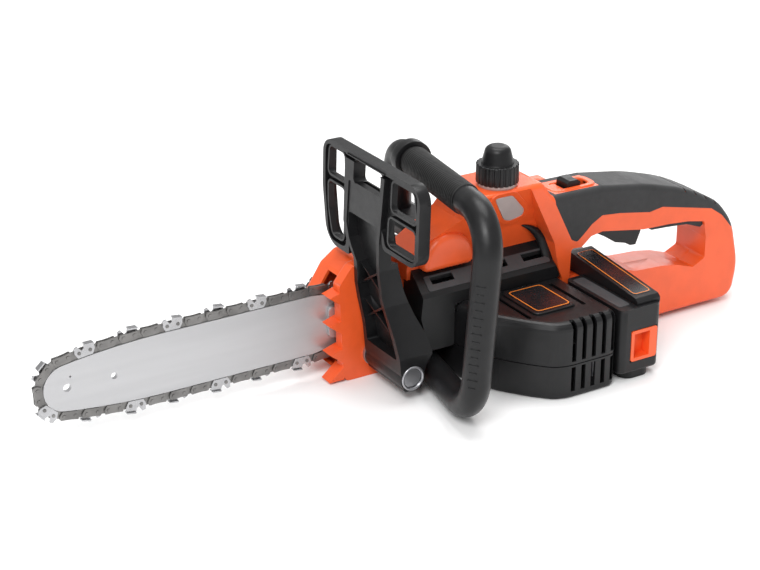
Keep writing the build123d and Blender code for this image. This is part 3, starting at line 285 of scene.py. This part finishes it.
def surface(name, colour, variation, roughness, grain, depth_mm, stretch=(1, 1, 1), metallic=0.0):
    """A surface with mottled colour, uneven gloss and a fine grain."""
    made = bpy.data.materials.new(name)
    made.use_nodes = True
    tree = made.node_tree
    shader = shader_of(made)
    socket_value(shader, "Metallic", metallic)
    dark = [c * (1 - variation) for c in colour]
    light = [min(1.0, c * (1 + variation)) for c in colour]
    shades(tree, noise(tree, 55, 5.0, stretch), dark, light, shader.inputs["Base Color"])
    gloss = noise(tree, 160, 3.0, stretch)
    spread(tree, gloss, roughness - 0.05, roughness + 0.05, shader.inputs["Roughness"])
    relief(tree, noise(tree, grain, 4.0, stretch), depth_mm, shader)
    return made


ORANGE = surface("orange_moulded", (0.84, 0.105, 0.020), 0.06, 0.34, 1500, 0.035)
BLACK = surface("black_moulded", (0.0075, 0.0075, 0.0082), 0.20, 0.38, 1700, 0.05)
# grey: the own colour of the battery's panel and the hood's screw boss, and also a painted highlight on the
# hood's sloping top
GREY_AND_HIGHLIGHT = surface("grey_moulded_and_painted_highlight", (0.055, 0.055, 0.058), 0.12, 0.45, 1500, 0.04)
GRIP = surface("charcoal_overmould", (0.021, 0.021, 0.022), 0.15, 0.62, 1100, 0.10)
RUBBER = surface("black_rubber", (0.009, 0.009, 0.009), 0.2, 0.55, 1300, 0.08)
WINDOW = surface("tank_window", (0.62, 0.52, 0.50), 0.05, 0.22, 500, 0.02)
PALE = surface("pale_seal", (0.42, 0.38, 0.36), 0.05, 0.4, 900, 0.02)
BAR_STEEL = surface("bar_steel", (0.50, 0.50, 0.51), 0.05, 0.42, 900, 0.02, (0.06, 1, 1), 0.7)
LINK_STEEL = surface("link_steel", (0.20, 0.195, 0.19), 0.25, 0.36, 700, 0.03, (1, 1, 1), 0.8)
CUTTER_STEEL = surface("cutter_chrome", (0.45, 0.45, 0.46), 0.10, 0.26, 600, 0.02, (1, 1, 1), 0.95)
GEAR_STEEL = surface("machined_steel", (0.42, 0.42, 0.44), 0.10, 0.32, 900, 0.02, (1, 0.2, 1), 0.9)
ALUMINIUM = surface("cast_aluminium", (0.62, 0.63, 0.64), 0.08, 0.45, 900, 0.05, (1, 1, 1), 0.85)
BRASS = surface("brass", (0.68, 0.48, 0.18), 0.08, 0.28, 700, 0.02, (1, 1, 1), 0.95)
CELL_WRAP = surface("cell_wrap", (0.08, 0.28, 0.24), 0.08, 0.30, 300, 0.02)
BOARD = surface("circuit_board", (0.02, 0.16, 0.07), 0.10, 0.35, 600, 0.03)
LABEL = surface("label_film", (0.012, 0.012, 0.014), 0.15, 0.26, 900, 0.01)
LABEL_LINE = surface("label_line", (0.76, 0.22, 0.03), 0.05, 0.35, 900, 0.01)

for dull in (BLACK, GREY_AND_HIGHLIGHT, GRIP, RUBBER):
    socket_value(shader_of(dull), "Specular IOR Level", 0.35)
for glossy in (ORANGE, WINDOW):
    socket_value(shader_of(glossy), "Coat Weight", 0.08)
    socket_value(shader_of(glossy), "Coat Roughness", 0.2)
socket_value(shader_of(WINDOW), "Transmission Weight", 0.25)
socket_value(shader_of(BAR_STEEL), "Anisotropic", 0.5)
socket_value(shader_of(GRIP), "Sheen Weight", 0.15)

SLOT_MATERIALS = {
    "orange_plastic": ORANGE,
    "latch_orange": ORANGE,
    "black_plastic": BLACK,
    "black_rubber": RUBBER,
    "grip_rubber": GRIP,
    "window_plastic": WINDOW,
    "bar_steel": BAR_STEEL,
    "chain_steel": LINK_STEEL,
    "cutter_steel": CUTTER_STEEL,
    "gear_steel": GEAR_STEEL,
    "plate_aluminium": ALUMINIUM,
    "brass": BRASS,
    "cell_wrap": CELL_WRAP,
    "board_green": BOARD,
}


# ---------------------------------------------------------------- CAD nodes: finish and softened edges
def soften(piece, width_mm, angle=SHARP):
    """Joins split corners, then rounds the sharp edges."""
    weld = piece.modifiers.new("weld", "WELD")
    weld.merge_threshold = SAME_POINT * MM
    bevel = piece.modifiers.new("edges", "BEVEL")
    bevel.width = width_mm * MM
    bevel.segments = 2
    bevel.limit_method = "ANGLE"
    bevel.angle_limit = angle
    bevel.miter_outer = "MITER_ARC"


for part in frame["record"]["subparts"]:
    node = frame["nodes"][part["node"]]
    node.data.materials.clear()
    node.data.materials.append(SLOT_MATERIALS[part["material_slot"]])
    if part["node"] not in CRISP:
        soften(node, EDGE_MM.get(part["material_slot"], OTHER_EDGE_MM))

# ---------------------------------------------------------------- places
FACE_UP = Matrix.Identity(4)
FACE_NEAR = Matrix.Rotation(math.radians(90), 4, "X")     # X and Z of the frame, with Z out towards -Y
FACE_SIDE = Matrix(((0, 0, 1, 0), (1, 0, 0, 0), (0, 1, 0, 0), (0, 0, 0, 1)))  # Y and Z, with Z along X


def at(point):
    return Matrix.Translation(Vector(point))


def turned(origin, x, y, z):
    return at(origin) @ Matrix((x, y, z)).transposed().to_4x4()


def axes_at(origin, direction, side=Vector((0, 0, 1))):
    """A place whose Z runs along direction, for pieces turned about it."""
    z = Vector(direction).normalized()
    x = Vector(side).cross(z).normalized()
    return turned(origin, x, z.cross(x), z)


def leaning(origin, slope):
    """A place on a sloping face: its X is the frame's X, and its Y runs up the slope."""
    x = Vector((1, 0, 0))
    y = slope.normalized()
    return turned(origin, x, y, x.cross(y))


# ---------------------------------------------------------------- outlines
def rounded(points, radius, steps=4):
    """The outline with each corner replaced by an arc."""
    result = []
    for index, corner in enumerate(points):
        here = Vector(corner)
        before = Vector(points[index - 1]) - here
        after = Vector(points[(index + 1) % len(points)]) - here
        reach = min(radius, before.length * 0.45, after.length * 0.45)
        start = here + before.normalized() * reach
        end = here + after.normalized() * reach
        for step in range(steps + 1):
            t = step / steps
            result.append(start * (1 - t) ** 2 + here * 2 * t * (1 - t) + end * t * t)
    return result


def box_outline(width, height, radius):
    half_w = width / 2
    half_h = height / 2
    return rounded([(-half_w, -half_h), (half_w, -half_h), (half_w, half_h), (-half_w, half_h)], radius)


def inset(outline, amount):
    """The closed outline moved inward by amount; it runs anticlockwise."""
    result = []
    for index, point in enumerate(outline):
        before = (Vector(point) - Vector(outline[index - 1])).normalized()
        after = (Vector(outline[(index + 1) % len(outline)]) - Vector(point)).normalized()
        normal = Vector((-before.y - after.y, before.x + after.x)).normalized()
        lean = max(0.3, normal.dot(Vector((-before.y, before.x))))
        result.append(Vector(point) + normal * amount / lean)
    return result


def round_levels(z_start, z_end, radius, steps=5):
    """Levels, as (inset, z), of a wall that turns over into a lid at z_end."""
    sign = 1 if z_end > z_start else -1
    levels = [(0.0, z_start)]
    for step in range(steps + 1):
        angle = math.pi / 2 * step / steps
        levels.append((radius * (1 - math.cos(angle)), z_end - sign * radius * (1 - math.sin(angle))))
    return levels


# ---------------------------------------------------------------- shapes
def ring_of(shape, place, points):
    return [shape.verts.new(place @ Vector(point)) for point in points]


def level_ring(shape, place, outline, z):
    return ring_of(shape, place, [(p[0], p[1], z) for p in outline])


def bridge(shape, first, second):
    """Joins two rings, with as many points as each other, by a band of faces."""
    count = len(first)
    for index in range(count):
        after = (index + 1) % count
        shape.faces.new((first[index], first[after], second[after], second[index]))


def tube(shape, rings):
    """Joins each ring to the next, and closes both ends."""
    for first, second in zip(rings, rings[1:]):
        bridge(shape, first, second)
    shape.faces.new(rings[0])
    shape.faces.new(rings[-1])


def plate(shape, place, outline, low, high):
    """A flat plate: the outline in place's X-Y plane, from low to high along its Z."""
    bottom = level_ring(shape, place, outline, low)
    top = level_ring(shape, place, outline, high)
    shape.faces.new(bottom)
    shape.faces.new(top)
    bridge(shape, bottom, top)


def lathe(shape, place, profile, steps=48, ribs=0, rib_depth=0.0):
    """Turns (radius, height) points about place's Z; ribs dents the widest part of the profile."""
    widest = max(radius for radius, height in profile)
    rings = []
    for radius, height in profile:
        ring = []
        for step in range(steps):
            angle = math.tau * step / steps
            reach = radius
            if ribs and radius > 0.9 * widest:
                reach -= rib_depth * 0.5 * (1 - math.cos(ribs * angle))
            ring.append((reach * math.cos(angle), reach * math.sin(angle), height))
        rings.append(ring_of(shape, place, ring))
    for low, high in zip(rings, rings[1:]):
        bridge(shape, low, high)
    return rings


def horn(shape, line, half_widths, depth):
    """A tapering bar along the line: each ring is its half width across, and depth times that towards Y."""
    rings = []
    for index, here in enumerate(line):
        before = Vector(line[max(index - 1, 0)])
        after = Vector(line[min(index + 1, len(line) - 1)])
        ring = []
        for step in range(FIN_SIDES):
            angle = math.tau * step / FIN_SIDES
            across = half_widths[index] * math.cos(angle)
            through = half_widths[index] * depth * math.sin(angle)
            ring.append((across, through, 0))
        rings.append(ring_of(shape, axes_at(here, after - before, Vector((0, 1, 0))), ring))
    tube(shape, rings)


def coil(shape, place, radius, wire, length, turns):
    """A round wire wound about place's Z, from its origin up to length."""
    steps = turns * COIL_STEPS
    rings = []
    for index in range(steps + 1):
        angle = math.tau * index / COIL_STEPS
        ring = []
        for side in range(WIRE_SIDES):
            around = math.tau * side / WIRE_SIDES
            reach = radius + wire * math.cos(around)
            height = length * index / steps + wire * math.sin(around)
            ring.append((reach * math.cos(angle), reach * math.sin(angle), height))
        rings.append(ring_of(shape, place, ring))
    tube(shape, rings)


def tub(shape, outline, wall, levels):
    """A closed tub: rings of (inset, z), then a lid, with an inner skin that is wall thinner all round."""
    z_start = levels[0][1]
    z_end = levels[-1][1]
    outward = 1 if z_end > z_start else -1
    rings = [level_ring(shape, FACE_UP, inset(outline, amount), z) for amount, z in levels]
    lid = rings[-1]
    for amount, z in reversed(levels):
        inner_z = z - wall * outward * (z - z_start) / (z_end - z_start)
        rings.append(level_ring(shape, FACE_UP, inset(outline, amount * 0.5 + wall), inner_z))
    for first, second in zip(rings, rings[1:] + rings[:1]):
        if first is lid:
            shape.faces.new(first)
            shape.faces.new(second)
        else:
            bridge(shape, first, second)


def one_plate(place, outline, low, high):
    shape = bmesh.new()
    plate(shape, place, outline, low, high)
    return shape


def one_band(place, outer, inner, low, high):
    """A flat ring between two outlines with as many points as each other."""
    shape = bmesh.new()
    corners = ((outer, low), (outer, high), (inner, high), (inner, low))
    rings = [level_ring(shape, place, outline, height) for outline, height in corners]
    for first, second in zip(rings, rings[1:] + rings[:1]):
        bridge(shape, first, second)
    return shape


def block(low, high):
    outline = [(low[0], low[1]), (high[0], low[1]), (high[0], high[1]), (low[0], high[1])]
    return one_plate(FACE_UP, outline, low[2], high[2])


def flute(x, y_range, z_range, width):
    """A slot cutter with round ends, seen from above."""
    front, back = y_range
    outline = box_outline(width, back - front, width * 0.45)
    return one_plate(at((x, (front + back) / 2, 0)), outline, *z_range)


# ---------------------------------------------------------------- meshes and pieces
def built(shape):
    """The bmesh, in millimetres, as a mesh in metres with its faces turned outward."""
    bmesh.ops.recalc_face_normals(shape, faces=shape.faces)
    bmesh.ops.scale(shape, vec=(MM, MM, MM), verts=shape.verts)
    mesh = bpy.data.meshes.new("built")
    shape.to_mesh(mesh)
    shape.free()
    return mesh


def in_millimetres(mesh):
    """The mesh, in metres, as a bmesh in millimetres."""
    shape = bmesh.new()
    shape.from_mesh(mesh)
    bmesh.ops.scale(shape, vec=(1 / MM, 1 / MM, 1 / MM), verts=shape.verts)
    return shape


def carved(shape, cutters):
    """The first shape less each of the others, as one mesh."""
    base = bpy.data.objects.new("base", built(shape))
    bpy.context.scene.collection.objects.link(base)
    tools = []
    for cutter in cutters:
        tool = bpy.data.objects.new("cutter", built(cutter))
        bpy.context.scene.collection.objects.link(tool)
        tools.append(tool)
        cut = base.modifiers.new("cut", "BOOLEAN")
        cut.object = tool
        cut.solver = "EXACT"
    depsgraph = bpy.context.evaluated_depsgraph_get()
    result = bpy.data.meshes.new_from_object(base.evaluated_get(depsgraph))
    for item in (base, *tools):
        bpy.data.objects.remove(item)
    return result


def add_piece(name, mesh, body, slot_name, finish=None, edge_mm=0.0, smooth=False):
    """A piece that rides on the body, with its slot's own finish unless another is given."""
    mesh.name = name
    piece = bpy.data.objects.new(name, mesh)
    bpy.context.scene.collection.objects.link(piece)
    mesh.materials.append(finish or SLOT_MATERIALS[slot_name])
    if smooth:
        mesh.shade_smooth()
    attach(piece, body)
    if edge_mm:
        soften(piece, edge_mm)
    return piece


# ---------------------------------------------------------------- front handle's ribbed grip
gap = (GRIP_LENGTH - 2 * GRIP_PLAIN) / RIBS
profile = [(GRIP_R - GRIP_STEP, 0), (GRIP_R - GRIP_ROUND, 0.2)]
for rib in range(RIBS):
    start = GRIP_PLAIN + gap * rib
    profile += [(GRIP_R - RIB_DEPTH, start), (GRIP_R, start + gap * 0.25), (GRIP_R, start + gap * 0.6),
                (GRIP_R - RIB_DEPTH, start + gap * 0.8)]
profile += [(GRIP_R - GRIP_ROUND, GRIP_LENGTH - 0.2), (GRIP_R - GRIP_STEP, GRIP_LENGTH)]
run = (BAIL_FAR - BAIL_NEAR).normalized()
sleeve = bmesh.new()
lathe(sleeve, axes_at(BAIL_NEAR + run * GRIP_START, run), profile, 64)
bail_sleeve = add_piece("bail_sleeve", built(sleeve), "chassis", "black_rubber", smooth=True)
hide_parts("bail_grip")

# ---------------------------------------------------------------- tick marks on the front handle's near run
tube_run = (BAIL_NEAR - BAIL_LOW).normalized()
tube_out = (TICK_FACING - tube_run * TICK_FACING.dot(tube_run)).normalized()
ticks = bmesh.new()
for index in range(TICKS):
    middle = BAIL_LOW + tube_run * (TICK_START + TICK_STEP * index) + tube_out * (TUBE_R - TICK_SINK)
    tick = box_outline(TICK_LENGTHS[index % 2], TICK_WIDTH, TICK_CORNER)
    plate(ticks, axes_at(middle, tube_out, tube_run), tick, *TICK_LEVELS)
add_piece("bail_ticks", built(ticks), "chassis", "black_plastic", edge_mm=0.2)

# ---------------------------------------------------------------- orange bulge on the near face
bulge_outline = []
for step in range(BULGE_STEPS + 1):
    angle = math.pi * step / BULGE_STEPS
    rise = BULGE_RISE * math.sin(angle) ** BULGE_FLATNESS
    bulge_outline.append((BULGE_X - BULGE_HALF_WIDTH * math.cos(angle), BULGE_BASE_Z + rise))
bulge = one_plate(FACE_NEAR, bulge_outline, *BULGE_LEVELS)
body_bulge = add_piece("body_bulge", built(bulge), "chassis", "orange_plastic", smooth=True)
soften(body_bulge, BULGE_EDGE, math.radians(50))
body_bulge.modifiers["edges"].segments = 6

# ---------------------------------------------------------------- orange rim round the lock-off button
outer = box_outline(*LOCK_RIM_OUTER)
inner = box_outline(*LOCK_RIM_INNER)
rim = one_band(at(LOCK_RIM_PLACE), outer, inner, *LOCK_RIM_LEVELS)
add_piece("lock_rim", built(rim), "chassis", "orange_plastic", edge_mm=1.0)

# ---------------------------------------------------------------- hand guard, hollow in front, thin behind
rim_outline = rounded(GUARD_RIM, GUARD_CORNER, 6)
pocket = one_plate(FACE_SIDE, inset(rim_outline, GUARD_LIP), *POCKET_X)
kept = []
for window in GUARD_WINDOWS:
    kept.append(one_plate(FACE_SIDE, inset(rounded(window, WINDOW_CORNER), -WINDOW_LIP), *WINDOW_X))
kept.append(one_plate(FACE_SIDE, GUARD_COLUMN, *COLUMN_X))
pocket_left = in_millimetres(carved(pocket, kept))
behind = one_plate(FACE_SIDE, GUARD_BEHIND, *BEHIND_X)
guard_source = in_millimetres(frame["nodes"]["hand_guard"].data)
bmesh.ops.remove_doubles(guard_source, verts=guard_source.verts, dist=SAME_POINT)
guard_mesh = carved(guard_source, [pocket_left, behind])
guard_shell = add_piece("guard_shell", guard_mesh, "guard", "black_plastic", edge_mm=0.5)
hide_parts("hand_guard")

# ---------------------------------------------------------------- steel cap over the guard's pivot
cap = bmesh.new()
lathe(cap, axes_at(GUARD_PIVOT, Vector((0, -1, 0))), PIVOT_RING)
add_piece("pivot_ring", built(cap), "guard", "gear_steel", smooth=True)

# ---------------------------------------------------------------- panel beside the battery's label
ledge = one_plate(at(LEDGE_PLACE), box_outline(*LEDGE), *LEDGE_LEVELS)
add_piece("battery_ledge", built(ledge), "battery", "black_plastic", GREY_AND_HIGHLIGHT, 0.2)

# ---------------------------------------------------------------- motor covers, rounded and fluted
# the far corners, where the covers meet the housing, stay square
arc = COVER_CORNER_STEPS + 1
near_corners = rounded(COVER_PLAN, COVER_CORNER, COVER_CORNER_STEPS)[arc:-arc]
cover_outline = [Vector(COVER_PLAN[0]), *near_corners, Vector(COVER_PLAN[-1])]
upper = bmesh.new()
tub(upper, cover_outline, COVER_WALL, round_levels(UPPER_SEAM_Z, COVER_TOP_Z, COVER_TOP_ROUND))
cutters = [flute(x, FLUTE_Y, UPPER_FLUTE_Z, FLUTE_WIDTH) for x in FLUTES_X]
cutters += [flute(x, TOP_SLOT_Y, TOP_SLOT_Z, TOP_SLOT_WIDTH) for x in TOP_SLOTS_X]
cutters.append(block(*HOOD_NOTCH))
motor_shell_upper = add_piece("motor_shell_upper", carved(upper, cutters), "chassis", "black_plastic",
                              edge_mm=COVER_EDGE)
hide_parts("motor_cover_upper")

lower = bmesh.new()
tub(lower, cover_outline, COVER_WALL, round_levels(LOWER_SEAM_Z, 0.0, COVER_FLOOR_ROUND))
cutters = [flute(x, FLUTE_Y, LOWER_FLUTE_Z, FLUTE_WIDTH) for x in FLUTES_X]
motor_shell_lower = add_piece("motor_shell_lower", carved(lower, cutters), "chassis", "black_plastic",
                              edge_mm=COVER_EDGE)
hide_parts("motor_cover_lower")

# ---------------------------------------------------------------- star recesses in the screw heads
star_places = [axes_at((x, face_y, z), Vector((0, 1, 0))) for x, z, face_y in HOUSING_SCREWS]
for x, y in COVER_SCREWS:
    star_places.append(axes_at((x, y, COVER_SCREW_Z), Vector((0, 0, -1)), Vector((0, 1, 0))))
stars = bmesh.new()
for place in star_places:
    rings = lathe(stars, place, STAR, STAR_STEPS, STAR_POINTS, STAR_DENT)
    stars.faces.new(rings[-1])
    stars.faces.new(rings[0])
add_piece("screw_stars", built(stars), "chassis", "black_plastic", LABEL)

# ---------------------------------------------------------------- fin and screw boss at the back of the hood
fin = bmesh.new()
horn(fin, FIN_LINE, FIN_WIDTHS, FIN_DEPTH)
hood_fin = add_piece("hood_fin", built(fin), "chassis", "black_plastic", smooth=True)
smoothing = hood_fin.modifiers.new("smooth", "SUBSURF")
smoothing.levels = 2
smoothing.render_levels = 2

boss = bmesh.new()
boss_rings = lathe(boss, axes_at(BOSS_PLACE, BOSS_FACING), BOSS, 32)
boss.faces.new(boss_rings[-1])
add_piece("hood_boss", built(boss), "chassis", "gear_steel", GREY_AND_HIGHLIGHT, smooth=True)

# ---------------------------------------------------------------- pale ring under the oil cap
neck = bmesh.new()
lathe(neck, at(NECK_PLACE), NECK, 64)
add_piece("neck_ring", built(neck), "chassis", "window_plastic", PALE, smooth=True)

# ---------------------------------------------------------------- dark liner behind the hood's slots
liner = one_plate(FACE_UP, LINER, *LINER_LEVELS)
add_piece("hood_liner", built(liner), "chassis", "black_plastic", LABEL, 0.3)

# ---------------------------------------------------------------- painted highlight: a grey strip along the hood's sloping top, standing in for light reflected off it
strip = one_plate(leaning(STRIP_PLACE, STRIP_SLOPE), rounded(STRIP, STRIP_CORNER), *STRIP_LEVELS)
cutters = []
for x in HOOD_SLOTS_X:
    low = (x, HOOD_SLOT_Y[0], HOOD_SLOT_Z[0])
    high = (x + HOOD_SLOT_LENGTH, HOOD_SLOT_Y[1], HOOD_SLOT_Z[1])
    cutters.append(block(low, high))
# the grey finish here is a painted highlight, not the hood's own colour
add_piece("hood_highlight_strip", carved(strip, cutters), "chassis", "black_plastic", GREY_AND_HIGHLIGHT, 0.4)

# ---------------------------------------------------------------- oil window in its frame
lean_place = leaning(LEAN_PLACE, LEAN_SLOPE)
rise = LEAN_SLOPE.normalized().z
pane_outline = rounded([(x, (z - LEAN_PLACE[2]) / rise) for x, z in WINDOW_PANE], PANE_CORNER)
surround = one_band(lean_place, inset(pane_outline, -FRAME_WIDTH), pane_outline, *FRAME_LEVELS)
add_piece("window_frame", built(surround), "chassis", "orange_plastic", edge_mm=0.4)
pane = one_plate(lean_place, inset(pane_outline, PANE_GAP), *PANE_LEVELS)
add_piece("window_pane", built(pane), "chassis", "window_plastic", edge_mm=0.3)

# ---------------------------------------------------------------- blank badge on the motor cover
film = one_plate(at(BADGE_PLACE), box_outline(*BADGE_FILM), *BADGE_FILM_LEVELS)
add_piece("badge_film", built(film), "chassis", "black_plastic", LABEL)
outer = box_outline(*BADGE_LINE_OUTER)
inner = box_outline(*BADGE_LINE_INNER)
line = one_band(at(BADGE_PLACE), outer, inner, *BADGE_LINE_LEVELS)
add_piece("badge_line", built(line), "chassis", "orange_plastic", LABEL_LINE)

# ---------------------------------------------------------------- blank label on the battery's sloping top
slope = STALK_HIGH - STALK_LOW
label_place = axes_at((STALK_LOW + STALK_HIGH) / 2, Vector((0, -slope.z, slope.y)), Vector((0, 1, 0)))
film = one_plate(label_place, box_outline(*BATTERY_FILM), *BATTERY_FILM_LEVELS)
add_piece("battery_film", built(film), "battery", "black_plastic", LABEL)
outer = box_outline(*BATTERY_LINE_OUTER)
inner = box_outline(*BATTERY_LINE_INNER)
line = one_band(label_place, outer, inner, *BATTERY_LINE_LEVELS)
add_piece("battery_line", built(line), "battery", "orange_plastic", LABEL_LINE)

# ---------------------------------------------------------------- coil springs, at their full length
for name, (body, joint, start, along, size, keep) in SPRINGS.items():
    side = Vector((along[1], along[2], along[0]))
    winding = bmesh.new()
    coil(winding, axes_at(start, along, side), *size)
    spring = add_piece(name + "_coil", built(winding), body, "gear_steel", smooth=True)
    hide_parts(name)
    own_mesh(spring)

# ---------------------------------------------------------------- floor
floor_shape = bmesh.new()
bmesh.ops.create_grid(floor_shape, x_segments=8, y_segments=8, size=FLOOR_HALF)
floor_mesh = bpy.data.meshes.new("floor")
floor_shape.to_mesh(floor_mesh)
floor_shape.free()
floor = bpy.data.objects.new("floor", floor_mesh)
bpy.context.scene.collection.objects.link(floor)
floor_finish = bpy.data.materials.new("pale_floor")
floor_finish.use_nodes = True
socket_value(shader_of(floor_finish), "Base Color", (0.93, 0.93, 0.93, 1))
socket_value(shader_of(floor_finish), "Roughness", 0.9)
floor_mesh.materials.append(floor_finish)
floor.location.z = FLOOR_Z

# ---------------------------------------------------------------- light
world = bpy.data.worlds.new("studio")
bpy.context.scene.world = world
world.use_nodes = True
world.node_tree.nodes["Background"].inputs["Color"].default_value = (1, 1, 1, 1)
world.node_tree.nodes["Background"].inputs["Strength"].default_value = WORLD_STRENGTH


def soft_light(name, place, target, size, power):
    light = bpy.data.lights.new(name, "AREA")
    light.shape = "RECTANGLE"
    light.size = size[0]
    light.size_y = size[1]
    light.energy = power
    lamp = bpy.data.objects.new(name, light)
    bpy.context.scene.collection.objects.link(lamp)
    lamp.location = place
    lamp.rotation_euler = (Vector(target) - Vector(place)).to_track_quat("-Z", "Y").to_euler()


soft_light("key", (-1.3, -1.2, 1.9), (0, 0, 0.08), (1.2, 1.2), 42)
soft_light("top", (0.3, 0.3, 2.2), (0, 0, 0.08), (1.6, 1.0), 30)
soft_light("rim", (1.4, 1.2, 0.9), (0, 0, 0.1), (0.8, 1.2), 7)

# ---------------------------------------------------------------- camera
camera_data = bpy.data.cameras.new("camera")
camera_data.lens = CAMERA_LENS
camera_data.sensor_width = 36.0
camera = bpy.data.objects.new("camera", camera_data)
bpy.context.scene.collection.objects.link(camera)
camera_up = CAMERA_BACK.cross(CAMERA_RIGHT).normalized()
camera.matrix_world = turned(CAMERA_PLACE, CAMERA_RIGHT, camera_up, CAMERA_BACK)
bpy.context.scene.camera = camera
bpy.context.scene.view_settings.view_transform = "Standard"
